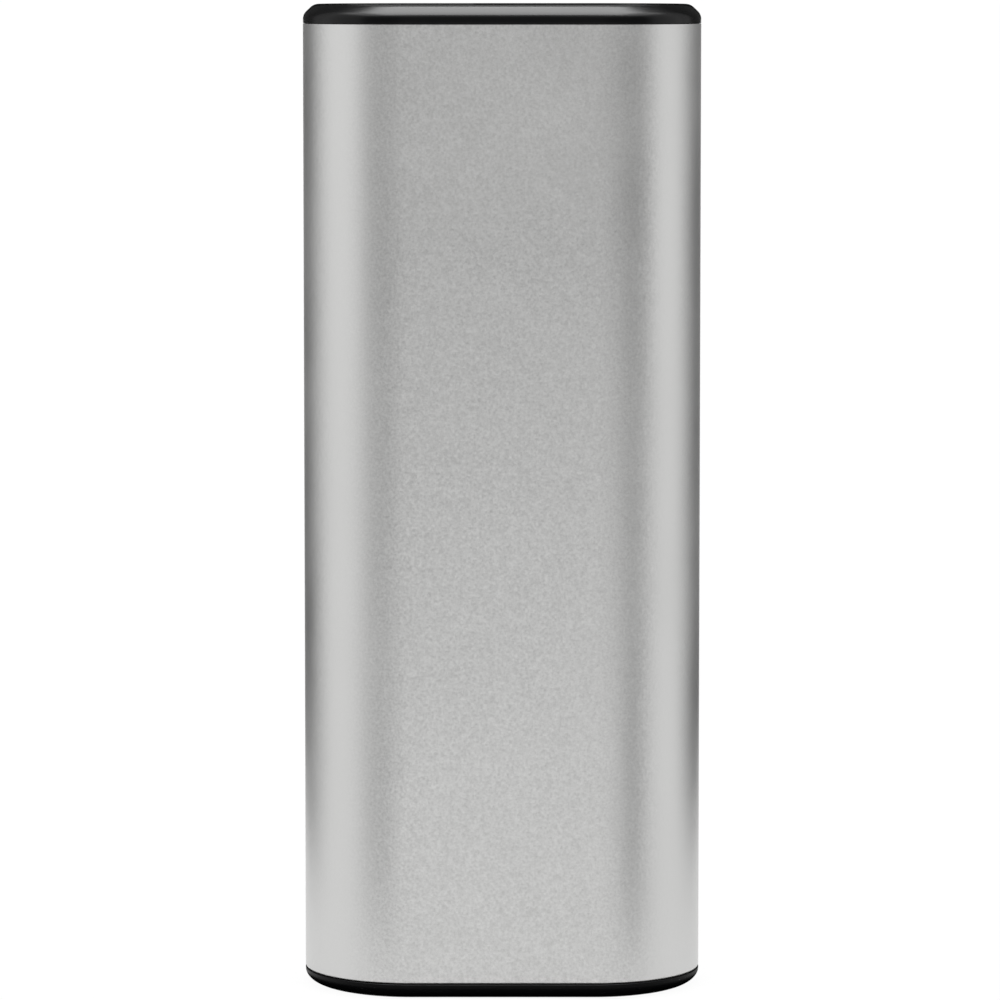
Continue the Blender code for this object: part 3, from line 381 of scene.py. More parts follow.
def markButton(material):
    # a plain on-off sign, pad-printed in pale grey on the top of the button
    tree = material.node_tree
    shader = tree.nodes["Principled BSDF"]
    low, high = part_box("power_button")
    place = addNode(tree, "ShaderNodeTexCoord", {}).outputs["Object"]
    centred = addNode(tree, "ShaderNodeVectorMath", {0: place, 1: ((low.x + high.x) / 2, 0, 0)},
                      operation="SUBTRACT")
    flat = addNode(tree, "ShaderNodeVectorMath", {0: centred.outputs[0], 1: (1, 1, 0)}, operation="MULTIPLY")
    reach = addNode(tree, "ShaderNodeVectorMath", {0: flat.outputs[0]}, operation="LENGTH")
    parts = addNode(tree, "ShaderNodeSeparateXYZ", {"Vector": centred.outputs[0]})
    ring = addNode(tree, "ShaderNodeMath", {
        0: reach.outputs["Value"], 1: buttonMark["ring"], 2: buttonMark["line"]}, operation="COMPARE")
    beside = addNode(tree, "ShaderNodeMath", {0: parts.outputs["X"], 1: 0, 2: buttonMark["gap"]},
                     operation="COMPARE")
    behind = addNode(tree, "ShaderNodeMath", {0: parts.outputs["Y"], 1: 0}, operation="GREATER_THAN")
    open_ = addNode(tree, "ShaderNodeMath", {0: beside.outputs[0], 1: behind.outputs[0]}, operation="MULTIPLY")
    arc = addNode(tree, "ShaderNodeMath", {0: ring.outputs[0], 1: open_.outputs[0]}, operation="SUBTRACT",
                  use_clamp=True)
    thin = addNode(tree, "ShaderNodeMath", {0: parts.outputs["X"], 1: 0, 2: buttonMark["line"]},
                   operation="COMPARE")
    long = addNode(tree, "ShaderNodeMath", {
        0: parts.outputs["Y"], 1: buttonMark["bar"][0], 2: buttonMark["bar"][1]}, operation="COMPARE")
    bar = addNode(tree, "ShaderNodeMath", {0: thin.outputs[0], 1: long.outputs[0]}, operation="MULTIPLY")
    sign = addNode(tree, "ShaderNodeMath", {0: arc.outputs[0], 1: bar.outputs[0]}, operation="MAXIMUM")
    above = addNode(tree, "ShaderNodeMath", {0: parts.outputs["Z"], 1: high.z - 0.0005},
                    operation="GREATER_THAN")
    printed = addNode(tree, "ShaderNodeMath", {0: sign.outputs[0], 1: above.outputs[0]}, operation="MULTIPLY")
    tint = addNode(tree, "ShaderNodeMix", {
        "Factor": printed.outputs[0], "A": shader.inputs["Base Color"].default_value[:],
        "B": linear(buttonMark["white"])}, data_type="RGBA")
    tree.links.new(tint.outputs["Result"], shader.inputs["Base Color"])


finishes = {"blasted": makeBlastedAluminium(), "shrunkFilm": makeCellWrap(), "heaterFilm": makeHeaterFilm(),
            "board": makeBoard(), "clearGuide": makeClearGuide()}
for name in moulded:
    finishes[name] = makeMoulded(name)
for name in plated:
    finishes[name] = makePlated(name)
for name in fibrous:
    finishes[name] = makeFibrous(name)
markButton(finishes["buttonPlastic"])
print("materials ready,", len(finishes))


# Outlines that grow into walls, ring by ring

def startRing(bm, shape, inset, z):
    halfFacet = math.pi / (4 * shape["steps"])
    ring = bmesh.ops.create_circle(bm, cap_ends=False, segments=4 * shape["steps"], radius=1)
    bmesh.ops.rotate(bm, verts=ring["verts"], cent=(0, 0, 0), matrix=Matrix.Rotation(halfFacet, 3, "Z"))
    bmesh.ops.scale(bm, verts=ring["verts"], vec=Vector((1, 1, 0)) / math.cos(halfFacet))
    for vert in ring["verts"]:
        for axis in (0, 1):
            reach = shape["radius"][axis] - inset
            corner = math.copysign(shape["corner"][axis], vert.co[axis])
            vert.co[axis] = shape["middle"][axis] + corner + vert.co[axis] * reach
        vert.co.z = z
    return list({edge for vert in ring["verts"] for edge in vert.link_edges})


def nextRing(bm, ring, shape, was, inset, z):
    made = bmesh.ops.extrude_edge_only(bm, edges=ring)["geom"]
    verts = {item for item in made if isinstance(item, bmesh.types.BMVert)}
    for vert in verts:
        for axis in (0, 1):
            offset = vert.co[axis] - shape["middle"][axis]
            corner = math.copysign(shape["corner"][axis], offset)
            share = (shape["radius"][axis] - inset) / (shape["radius"][axis] - was)
            vert.co[axis] = shape["middle"][axis] + corner + (offset - corner) * share
        vert.co.z = z
    return [item for item in made if isinstance(item, bmesh.types.BMEdge) and set(item.verts) <= verts]


def growWall(bm, shape, levels):
    first = startRing(bm, shape, *levels[0])
    ring = first
    for before, level in zip(levels, levels[1:]):
        ring = nextRing(bm, ring, shape, before[0], *level)
    return first, ring


def softened(corners, steps=4):
    # a profile of (inset, height, radius) corners, each rounded by its radius
    levels = []
    for index, (inset, z, radius) in enumerate(corners):
        here = Vector((inset, z))
        if not radius:
            levels.append(here)
            continue
        before = here + (Vector(corners[index - 1][:2]) - here).normalized() * radius
        after = here + (Vector(corners[index + 1][:2]) - here).normalized() * radius
        for step in range(steps + 1):
            share = step / steps
            levels.append(before * (1 - share) ** 2 + here * 2 * share * (1 - share) + after * share ** 2)
    return [tuple(level) for level in levels]


def fillFlat(bm, *rings):
    bmesh.ops.triangle_fill(bm, use_beauty=True, edges=[edge for ring in rings for edge in ring])


def roundShape(x, y, radius, steps=12):
    return {"middle": (x, y), "corner": (0, 0), "radius": (radius, radius), "steps": steps}


def slotShape(x, y, halfX, halfY, radius, steps=6):
    corner = (max(0, halfX - radius), max(0, halfY - radius))
    return {"middle": (x, y), "corner": corner, "radius": (radius, radius), "steps": steps}


def finishPiece(name, bm, material, body, replaced, extra=()):
    bmesh.ops.remove_doubles(bm, verts=bm.verts[:], dist=0.0000002)
    bmesh.ops.recalc_face_normals(bm, faces=bm.faces[:])
    openEdges = sum(not edge.is_manifold for edge in bm.edges)
    mesh = bpy.data.meshes.new(name)
    bm.to_mesh(mesh)
    bm.free()
    for finish in (material, *extra):
        mesh.materials.append(finish)
    mesh.shade_smooth()
    mesh.set_sharp_from_angle(angle=math.radians(32))
    piece = bpy.data.objects.new(name, mesh)
    bpy.context.scene.collection.objects.link(piece)
    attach(piece, body)
    if replaced:
        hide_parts(*replaced)
    print(name, "has", len(mesh.polygons), "faces and", openEdges, "open edges")
    return piece


# The body's section: two flats and two half-elliptical ends

section = {
    "endReach": 0.0109,  # how far each rounded end runs out from the flats
    "steps": 40,  # facets in each quarter of the outline
}
sleeveLow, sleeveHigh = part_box("tube_shell")
flatHalf = sleeveHigh.x - section["endReach"]
bodyShape = {
    "middle": (0, 0),
    "corner": (flatHalf, 0),
    "radius": (section["endReach"], sleeveHigh.y),
    "steps": section["steps"],
}

sleeve = {
    "wall": 0.0012,
    "round": 0.00025,  # the tumbled lower edge, which shows as a bright line
    "edge": 0.0001,
    "topDrop": 0.00019,  # both seams lie a little lower than the solids' own
    "bottomDrop": 0.00015,
}
sleeveTop = sleeveHigh.z - sleeve["topDrop"]
sleeveBottom = sleeveLow.z - sleeve["bottomDrop"]


def makeSleeve():
    low, high, wall, edge = sleeveBottom, sleeveTop, sleeve["wall"], sleeve["edge"]
    levels = softened([
        (wall / 2, low, 0), (0, low, sleeve["round"]), (0, high, 0), (wall - edge, high, 0),
        (wall, high - edge, 0), (wall, low, edge), (wall / 2, low, 0),
    ], 6)
    bm = bmesh.new()
    growWall(bm, bodyShape, levels)
    finishPiece("sleeve", bm, finishes["blasted"], "case", ["tube_shell"])


caps = {
    "seam": 0.00005,  # what shows of the joint between cap and sleeve
    "skirt": 0.0015,  # inset of the part that plugs into the sleeve
    "hollow": 0.0028,
    "leadIn": 0.0003,
    "lipRadius": 0.00006,
}

topCap = {
    "slopeHeight": 0.00107,  # the sloping edge all round the top
    "slopeInset": 0.00112,
    "slopeRadius": 0.0005,
    "plate": 0.0018,
    "skirtEnd": 0.0073,  # down from the top
    "border": 0.0001,  # narrow flat round each edge, so that the top plate shades flat
    "holeEdge": 0.00018,
    "postHalf": 0.0018,
    "postBorder": 0.00006,
    "gap": 0.0003,
}

button = {"radius": 0.003, "flange": 0.0037, "flangeHeight": 0.0007}
pips = {"radius": 0.0006, "bar": 0.0012}

outletLow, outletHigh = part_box("usb_a_shell")
inletLow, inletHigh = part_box("usb_c_shell")
buttonLow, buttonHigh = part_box("power_button")
guideLow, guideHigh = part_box("light_guide")
lightPlaces = [(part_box(f"status_led_{number}")[0].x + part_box(f"status_led_{number}")[1].x) / 2
               for number in (1, 2, 3, 4)]
pipY = (guideLow.y + guideHigh.y) / 2


def openings():
    gap = topCap["gap"]
    middle, half = (outletLow + outletHigh) / 2, (outletHigh - outletLow) / 2
    shapes = [slotShape(middle.x, middle.y, half.x + gap, half.y + gap, 0.0009)]
    middle, half = (inletLow + inletHigh) / 2, (inletHigh - inletLow) / 2
    shapes.append(slotShape(middle.x, middle.y, half.x + gap, half.y + gap, half.y + gap, 12))
    shapes.append(roundShape((buttonLow.x + buttonHigh.x) / 2, 0, button["radius"] + gap, 20))
    shapes += [roundShape(x, pipY, pips["radius"] + gap, 8) for x in lightPlaces]
    return shapes


def makeTopCap():
    top, rim = cadHigh.z, sleeveTop + caps["seam"]
    skirtEnd, underside = top - topCap["skirtEnd"], top - topCap["plate"]
    border = topCap["border"]
    outside = softened([
        (caps["skirt"] + caps["leadIn"], skirtEnd, 0),
        (caps["skirt"], skirtEnd + 2 * caps["leadIn"], 0),
        (caps["skirt"], rim, 0),
        (0, rim, caps["lipRadius"]),
        (0, top - topCap["slopeHeight"], topCap["slopeRadius"]),
        (topCap["slopeInset"], top, topCap["slopeRadius"]),
        (topCap["slopeInset"] + topCap["slopeRadius"] + border, top, 0),
    ], 6)
    bm = bmesh.new()
    skirtRing, topRing = growWall(bm, bodyShape, outside)
    hollowLevels = [(caps["hollow"], skirtEnd), (caps["hollow"], underside - border),
                    (caps["hollow"] + border, underside)]
    lowRing, hollowRing = growWall(bm, bodyShape, hollowLevels)
    fillFlat(bm, skirtRing, lowRing)
    tops, undersides = [topRing], [hollowRing]
    for shape in openings():
        edge = topCap["holeEdge"]
        levels = softened([(-edge - border, top, 0), (-edge / 2, top, edge / 2),
                           (0, top - edge, edge / 2), (0, underside, 0)], 3)
        upper, lower = growWall(bm, shape, levels)
        tops.append(upper)
        undersides.append(lower)
    fillFlat(bm, *tops)
    for shape, end in postShapes():
        levels = [(0, underside), (0, end + border), (border, end)]
        upper, lower = growWall(bm, shape, levels)
        fillFlat(bm, lower)
        undersides.append(upper)
    fillFlat(bm, *undersides)
    finishPiece("top_cap_moulding", bm, finishes["capPlastic"], "case", ["top_cap"])


def postShapes():
    # the two posts that the board is screwed to, hanging from the cap in front of the board
    boardLow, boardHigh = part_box("main_board")
    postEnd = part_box("top_cap")[0].z
    half = topCap["postHalf"]
    x = boardHigh.x - 0.0012 - topCap["gap"] - half
    share = (x + half - flatHalf) / (bodyShape["radius"][0] - caps["hollow"])
    front = (bodyShape["radius"][1] - caps["hollow"]) * math.sqrt(1 - share ** 2) - 2 * topCap["border"]
    back = -boardLow.y + topCap["gap"]
    shapes = []
    for side in (-1, 1):
        shapes.append((slotShape(side * x, -(front + back) / 2, half, (front - back) / 2, 0.0003, 3), postEnd))
    return shapes


bottomCap = {
    "crownHeight": 0.0014,
    "crownInset": 0.0021,
    "crownWall": 0.0015,
    "recessInset": 0.0029,
    "recess": 0.001,
    "floor": 0.0032,
    "skirtTop": 0.0072,
    "edge": 0.0001,
    "headRadius": 0.002,
    "headSeat": 0.0024,
    "holeRadius": 0.0012,
}


def makeBottomCap():
    rim = sleeveBottom - caps["seam"]
    inset, height = bottomCap["crownInset"], bottomCap["crownHeight"]
    crown = []
    for step in range(13):
        angle = math.pi / 2 * step / 12
        crown.append((inset * (1 - math.sin(angle)), height * (1 - math.cos(angle))))
    edge = bottomCap["edge"]
    levels = [(bottomCap["recessInset"], bottomCap["recess"]), (bottomCap["recessInset"], edge),
              (bottomCap["recessInset"] - edge, 0)]
    levels += crown
    levels += [(0, rim - caps["lipRadius"]), (caps["lipRadius"], rim), (caps["skirt"], rim),
               (caps["skirt"], bottomCap["skirtTop"] - 2 * caps["leadIn"]),
               (caps["skirt"] + caps["leadIn"], bottomCap["skirtTop"])]
    bm = bmesh.new()
    recessRing, skirtRing = growWall(bm, bodyShape, levels)
    hollow = [(caps["hollow"], bottomCap["skirtTop"]), (caps["hollow"], bottomCap["floor"])]
    upperRing, floorRing = growWall(bm, bodyShape, hollow)
    fillFlat(bm, skirtRing, upperRing)
    seats, floors = [recessRing], [floorRing]
    for node in ("bottom_screw_front", "bottom_screw_back"):
        low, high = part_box(node)
        shape = roundShape(0, (low.y + high.y) / 2, bottomCap["headRadius"])
        step = bottomCap["headRadius"] - bottomCap["holeRadius"]
        lower, upper = growWall(bm, shape, [
            (0, bottomCap["recess"]), (0, bottomCap["headSeat"]),
            (step, bottomCap["headSeat"]), (step, bottomCap["floor"])])
        seats.append(lower)
        floors.append(upper)
    fillFlat(bm, *seats)
    fillFlat(bm, *floors)
    # the lower cap takes a darker-reflecting copy of the cap plastic: painted shade where it meets the floor
    finishPiece("bottom_cap_moulding", bm, finishes["shadedCapPlastic"], "case", ["bottom_cap"])


footPad = {"inset": 0.0032, "edge": 0.00025}


def makeFootPad():
    low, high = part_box("foot_pad")
    edge, inset = footPad["edge"], footPad["inset"]
    levels = softened([
        (inset + 2 * edge, low.z, 0), (inset, low.z, edge), (inset, high.z, edge / 2), (inset + edge, high.z, 0)])
    bm = bmesh.new()
    for ring in growWall(bm, bodyShape, levels):
        fillFlat(bm, ring)
    finishPiece("foot_pad_moulding", bm, finishes["padRubber"], "case", ["foot_pad"])


# The button, which rides on its own body

buttonCap = {
    "dish": 0.00016,  # how far the middle of the top is hollowed for the finger
    "dishRadius": 0.0024,
    "edge": 0.00032,
    "fillet": 0.00015,
    "flangeEdge": 0.0001,
    "stemRadius": 0.0011,
    "stemEdge": 0.00015,
}


def makeButton():
    low, high = buttonLow, buttonHigh
    radius, reach = button["radius"], buttonCap["dishRadius"]
    flangeInset = radius - button["flange"]
    flangeTop = cadHigh.z - topCap["plate"] - topCap["gap"]
    flangeBottom = flangeTop - button["flangeHeight"]
    levels = []
    for step in range(1, 13):
        share = step / 12
        levels.append((radius - reach * share, high.z - buttonCap["dish"] * (1 - share ** 2)))
    levels += softened([
        (radius - reach - topCap["border"], high.z, 0),
        (0, high.z, buttonCap["edge"]),
        (0, flangeTop, buttonCap["fillet"]),
        (flangeInset, flangeTop, buttonCap["flangeEdge"]),
        (flangeInset, flangeBottom, buttonCap["flangeEdge"]),
        (flangeInset + 2 * buttonCap["flangeEdge"], flangeBottom, 0),
    ], 5)
    bm = bmesh.new()
    middle, under = growWall(bm, roundShape((low.x + high.x) / 2, 0, radius, 20), levels)
    fillFlat(bm, middle)
    plungerLow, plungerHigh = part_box("switch_plunger")
    stem = roundShape((low.x + high.x) / 2, (plungerLow.y + plungerHigh.y) / 2, buttonCap["stemRadius"], 8)
    stemEdge = buttonCap["stemEdge"]
    upper, lower = growWall(bm, stem, [(0, flangeBottom), (0, low.z + stemEdge), (stemEdge, low.z)])
    fillFlat(bm, under, upper)
    fillFlat(bm, lower)
    finishPiece("button_moulding", bm, finishes["buttonPlastic"], "button", ["power_button"])


# The outlet and the inlet, each a sheet-metal shell round an insulator

ports = {
    "sheet": 0.0003,
    "rim": 0.00012,
    "base": 0.0017,
    "room": 0.0003,
    "corner": 0.0006,
    "tongueEdge": 0.0002,
}

outlet = {
    "tongueHalf": (0.00555, 0.00092),
    "tongueY": -0.00122,
    "contactPlaces": (-0.0035, -0.001, 0.001, 0.0035),
    "contactWidth": 0.001,
    "contactThick": 0.00015,
    "contactStart": 0.0006,
    "contactRise": 0.00042,  # how far each contact bows out towards a plug
    "springPlaces": (-0.003, 0.003),
    "springWidth": 0.0017,
    "springThick": 0.00015,
    "springEnds": (0.0105, 0.0012),  # below the mouth
    "springBow": {-1: 0.0002, 1: 0.00055},
}

inlet = {
    "tongueHalf": (0.003345, 0.00035),
    "contactPitch": 0.0005,
    "contactCount": 12,
    "contactWidth": 0.00026,
    "contactProud": 0.00003,
    "contactEnds": (0.0039, 0.00035),  # below the tongue's tip
    "powerEnd": 0.0002,  # the four supply contacts reach nearer the tip
    "powerPlaces": (0, 3, 8, 11),
}


def addBlock(bm, low, high, edge):
    block = bmesh.ops.create_cube(bm, size=1)["verts"]
    bmesh.ops.scale(bm, verts=block, vec=high - low)
    bmesh.ops.translate(bm, verts=block, vec=(low + high) / 2)
    bmesh.ops.bevel(
        bm, geom=list({side for vert in block for side in vert.link_edges}), offset=edge, segments=2,
        profile=0.5, affect="EDGES", material=-1)


def addStrip(bm, x, width, thick, path):
    # a pressed strip that follows (y, z) points
    verts = [bm.verts.new((x - width / 2, *point)) for point in path]
    edges = [bm.edges.new(pair) for pair in zip(verts, verts[1:])]
    made = bmesh.ops.extrude_edge_only(bm, edges=edges)["geom"]
    bmesh.ops.translate(bm, vec=(width, 0, 0), verts=[item for item in made if isinstance(item, bmesh.types.BMVert)])
    faces = [item for item in made if isinstance(item, bmesh.types.BMFace)]
    bmesh.ops.solidify(bm, geom=faces, thickness=thick)


def makePortShell(name, node, corner, steps):
    low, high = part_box(node)
    middle, half = (low + high) / 2, (high - low) / 2
    rim, sheet = ports["rim"], ports["sheet"]
    levels = [(rim / 2, low.z), (0, low.z + rim / 2)]
    levels += softened([(0, high.z - 2 * rim, 0), (0, high.z, rim), (sheet, high.z, rim),
                        (sheet, high.z - 2 * rim, 0)], 4)
    levels += [(sheet, low.z + rim / 2), (sheet - rim / 2, low.z), (rim / 2, low.z)]
    bm = bmesh.new()
    growWall(bm, slotShape(middle.x, middle.y, half.x, half.y, corner, steps), levels)
    finishPiece(name, bm, finishes["portSteel"], "case", [node])


def makePortInsert(name, node, shell, corner, steps, tongue, finish):
    low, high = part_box(node)
    shellLow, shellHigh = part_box(shell)
    middle, half = (shellLow + shellHigh) / 2, (shellHigh - shellLow) / 2
    inner = ports["sheet"] + ports["room"]
    edge, baseTop = ports["tongueEdge"], low.z + ports["base"]
    bm = bmesh.new()
    under, over = growWall(bm, slotShape(middle.x, middle.y, half.x - inner, half.y - inner, corner, steps), [
        (edge / 2, low.z), (0, low.z + edge / 2), (0, baseTop - edge / 2), (edge / 2, baseTop)])
    tongueShape = slotShape(middle.x, tongue["tongueY"], *tongue["tongueHalf"], 1.4 * edge, 3)
    rise, tip = growWall(bm, tongueShape, softened([
        (0, baseTop, 0), (0, high.z, edge), (1.2 * edge, high.z, 0)]))
    fillFlat(bm, under)
    fillFlat(bm, over, rise)
    fillFlat(bm, tip)
    finishPiece(name, bm, finishes[finish], "case", [node])


def makeOutletMetal():
    x = (outletLow.x + outletHigh.x) / 2
    insertLow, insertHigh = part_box("usb_a_insert")
    face = outlet["tongueY"] + outlet["tongueHalf"][1]
    foot = insertLow.z + ports["base"] + outlet["contactStart"]
    bm = bmesh.new()
    for place in outlet["contactPlaces"]:
        tip = insertHigh.z - (0.0006 if abs(place) > 0.002 else 0.0016)
        bow = foot + (tip - foot) * 0.7
        path = softened([(face - 0.00004, foot, 0), (face + outlet["contactRise"], bow, 0.0012),
                         (face - 0.00004, tip, 0)], 8)
        addStrip(bm, x + place, outlet["contactWidth"], outlet["contactThick"], path)
    finishPiece("outlet_contacts", bm, finishes["goldContact"], "case", [])
    wall = (outletHigh.y - outletLow.y) / 2 - ports["sheet"]
    start, end = (outletHigh.z - depth for depth in outlet["springEnds"])
    bm = bmesh.new()
    for side, bowed in outlet["springBow"].items():
        for place in outlet["springPlaces"]:
            bow = start + (end - start) * 0.72
            path = softened([(side * (wall + 0.00002), start, 0), (side * (wall - bowed), bow, 0.0014),
                             (side * (wall + 0.00002), end, 0)], 8)
            addStrip(bm, x + place, outlet["springWidth"], outlet["springThick"], path)
    finishPiece("outlet_springs", bm, finishes["portSteel"], "case", [])


def makeInletContacts():
    x = (inletLow.x + inletHigh.x) / 2
    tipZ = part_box("usb_c_insert")[1].z
    halfY, proud = inlet["tongueHalf"][1], inlet["contactProud"]
    bm = bmesh.new()
    for index in range(inlet["contactCount"]):
        middle = x + (index - (inlet["contactCount"] - 1) / 2) * inlet["contactPitch"]
        start, end = inlet["contactEnds"]
        if index in inlet["powerPlaces"]:
            end = inlet["powerEnd"]
        for side in (-1, 1):
            low = Vector((middle - inlet["contactWidth"] / 2, side * halfY - proud, tipZ - start))
            high = Vector((middle + inlet["contactWidth"] / 2, side * halfY + proud, tipZ - end))
            addBlock(bm, low, high, proud / 2)
    finishPiece("inlet_contacts", bm, finishes["goldContact"], "case", [])


# The clear guide: a bar behind the cap, with a domed pip in each window

guide = {"edge": 0.00012, "dome": 0.00025}


def makeLightGuide():
    low, high = guideLow, guideHigh
    middle, half = (low + high) / 2, (high - low) / 2
    edge, barTop = guide["edge"], low.z + pips["bar"]
    bm = bmesh.new()
    under, over = growWall(bm, slotShape(middle.x, middle.y, half.x, half.y, 2.4 * edge, 4), softened([
        (2 * edge, low.z, 0), (0, low.z, edge), (0, barTop, edge), (2 * edge, barTop, 0)], 3))
    fillFlat(bm, under)
    rings = [over]
    for x in lightPlaces:
        levels = [(0, barTop), (0, high.z - guide["dome"])]
        for step in range(1, 9):
            angle = math.pi / 2 * step / 8.4
            levels.append((pips["radius"] * (1 - math.cos(angle)),
                           high.z - guide["dome"] * (1 - math.sin(angle))))
        foot, tip = growWall(bm, roundShape(x, pipY, pips["radius"], 8), levels)
        fillFlat(bm, tip)
        rings.append(foot)
    fillFlat(bm, *rings)
    finishPiece("light_guide_moulding", bm, finishes["clearGuide"], "case", ["light_guide"])


makeSleeve()
makeTopCap()
makeBottomCap()
makeFootPad()
makeButton()
makePortShell("outlet_shell", "usb_a_shell", ports["corner"], 6)
makePortInsert("outlet_insert", "usb_a_insert", "usb_a_shell", 0.0003, 4, outlet, "whiteInsulator")
makeOutletMetal()
inletCorner = (inletHigh.y - inletLow.y) / 2
makePortShell("inlet_shell", "usb_c_shell", inletCorner, 12)
makePortInsert("inlet_insert", "usb_c_insert", "usb_c_shell",
               inletCorner - ports["sheet"] - ports["room"], 12, {"tongueY": 0, **inlet},
               "blackInsulator")
makeInletContacts()
makeLightGuide()


# Screws: pan heads with a cross recess, and threads as rings

screw = {
    "head": 0.0017,
    "headHigh": 0.0009,
    "headRound": 0.0004,
    "shank": 0.0009,
    "root": 0.00072,
    "pitch": 0.0004,
    "tip": 0.0003,
    "crossArm": 0.00085,
    "crossHalf": 0.00022,
    "crossDeep": 0.0005,
    "crossTaper": 0.6,
}


def addCross(bm, deep):
    # the recess for the driver, narrower at its bottom
    arm, half = screw["crossArm"], screw["crossHalf"]
    corners = [(arm, -half), (arm, half), (half, half), (half, arm), (-half, arm), (-half, half)]
    corners += [(-x, -y) for x, y in corners]
    verts = [bm.verts.new((*corner, 0)) for corner in corners]
    ring = [bm.edges.new(pair) for pair in zip(verts, verts[1:] + verts[:1])]
    made = bmesh.ops.extrude_edge_only(bm, edges=ring)["geom"]
    lower = [item for item in made if isinstance(item, bmesh.types.BMVert)]
    bmesh.ops.translate(bm, vec=(0, 0, deep), verts=lower)
    bmesh.ops.scale(bm, vec=(screw["crossTaper"], screw["crossTaper"], 1), verts=lower)
    fillFlat(bm, [item for item in made if isinstance(item, bmesh.types.BMEdge) and set(item.verts) <= set(lower)])
    return ring


def makeScrew(name, node, placing, length):
    head = screw["head"]
    levels = softened([
        (2 * screw["headRound"], 0, 0), (0, 0, screw["headRound"]), (0, screw["headHigh"], 0),
        (head - screw["root"], screw["headHigh"], 0)])
    z = screw["headHigh"]
    while z < length - 3 * screw["pitch"]:
        levels += [(head - screw["root"], z + screw["pitch"] * 0.3),
                   (head - screw["shank"], z + screw["pitch"] * 0.6), (head - screw["root"], z + screw["pitch"] * 0.9)]
        z += screw["pitch"]
    levels.append((head - screw["tip"], length))
    bm = bmesh.new()
    face, tip = growWall(bm, roundShape(0, 0, head, 6), levels)
    fillFlat(bm, tip)
    fillFlat(bm, face, addCross(bm, screw["crossDeep"]))
    bmesh.ops.transform(bm, matrix=placing, verts=bm.verts[:])
    finishPiece(name, bm, finishes["zincScrew"], "case", [node])


def makeScrews():
    for node in ("bottom_screw_front", "bottom_screw_back"):
        low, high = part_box(node)
        place = Matrix.Translation((0, (low.y + high.y) / 2, low.z))
        makeScrew(node + "_pan_head", node, place, high.z - low.z)
    for node in ("board_screw_left", "board_screw_right"):
        low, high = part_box(node)
        place = Matrix.Translation(((low.x + high.x) / 2, high.y, (low.z + high.z) / 2))
        place = place @ Matrix.Rotation(math.radians(90), 4, "X")
        makeScrew(node + "_pan_head", node, place, high.y - low.y)


# Parts on the board

chip = {"edge": 0.00007, "pinPitch": 0.00065, "pinWidth": 0.0003, "pinThick": 0.00012, "pinReach": 0.0006,
        "pinFloat": 0.00002}
parts = {"inductorEdge": 0.0005, "ledEdge": 0.00006, "lensInset": 0.0002, "lensHigh": 0.00008,
         "riserEdge": 0.00015, "beadEdge": 0.0003, "terminalHalf": 0.0012, "terminalThick": 0.0001}

capacitor = {"grooveStart": 0.0009, "grooveEnd": 0.0014, "groove": 0.00022, "edge": 0.0003, "step": 0.0006,
             "stepDeep": 0.00006, "basePad": 0.0004}


def makeChips():
    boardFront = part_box("main_board")[0].y
    pins = bmesh.new()
    for node in ("controller_chip", "charger_chip"):
        low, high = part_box(node)
        bm = bmesh.new()
        addBlock(bm, low, high, chip["edge"])
        finishPiece(node + "_package", bm, finishes["blackInsulator"], "case", [node])
        middle = (low + high) / 2
        count = round((high.x - low.x) / chip["pinPitch"]) - 1
        for side, edge in ((-1, low.z), (1, high.z)):
            start, reach = edge - side * chip["edge"], edge + side * chip["pinReach"]
            bend = edge + side * chip["pinReach"] / 2
            path = softened([(middle.y, start, 0), (middle.y, bend, 0.0001),
                             (boardFront - chip["pinFloat"], bend, 0.0001),
                             (boardFront - chip["pinFloat"], reach, 0)], 3)[::-side]
            for index in range(count):
                x = middle.x + (index - (count - 1) / 2) * chip["pinPitch"]
                addStrip(pins, x, chip["pinWidth"], chip["pinThick"], path)
    finishPiece("chip_pins", pins, finishes["nickelStrip"], "case", [])


def makeSmallParts():
    low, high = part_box("inductor")
    bm = bmesh.new()
    addBlock(bm, low, high, parts["inductorEdge"])
    finishPiece("inductor_core", bm, finishes["pressedFerrite"], "case", ["inductor"])
    bm = bmesh.new()
    half, thick = parts["terminalHalf"], parts["terminalThick"]
    middle = (low + high) / 2
    for x in (low.x, high.x):
        addBlock(bm, Vector((x - thick, low.y - 0.0003, middle.z - half)),
                 Vector((x + thick, middle.y, middle.z + half)), thick / 3)
    finishPiece("inductor_terminals", bm, finishes["nickelStrip"], "case", [])
    lenses = bmesh.new()
    for number in (1, 2, 3, 4):
        node = f"status_led_{number}"
        low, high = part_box(node)
        bm = bmesh.new()
        addBlock(bm, low, high, parts["ledEdge"])
        finishPiece(node + "_body", bm, finishes["whiteInsulator"], "case", [node])
        inset = Vector((parts["lensInset"], parts["lensInset"], 0))
        foot = Vector((low.x, low.y, high.z - parts["lensHigh"])) + inset
        addBlock(lenses, foot, high - inset + Vector((0, 0, parts["lensHigh"])), parts["lensHigh"] / 3)
    finishPiece("led_lenses", lenses, finishes["ledPhosphor"], "case", [])
    for node, name, edge in (("usb_c_riser", "inlet_riser", parts["riserEdge"]),
                             ("thermistor", "thermistor_bead", parts["beadEdge"])):
        low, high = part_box(node)
        bm = bmesh.new()
        addBlock(bm, low, high, edge)
        finishPiece(name, bm, finishes["blackInsulator"], "case", [node])


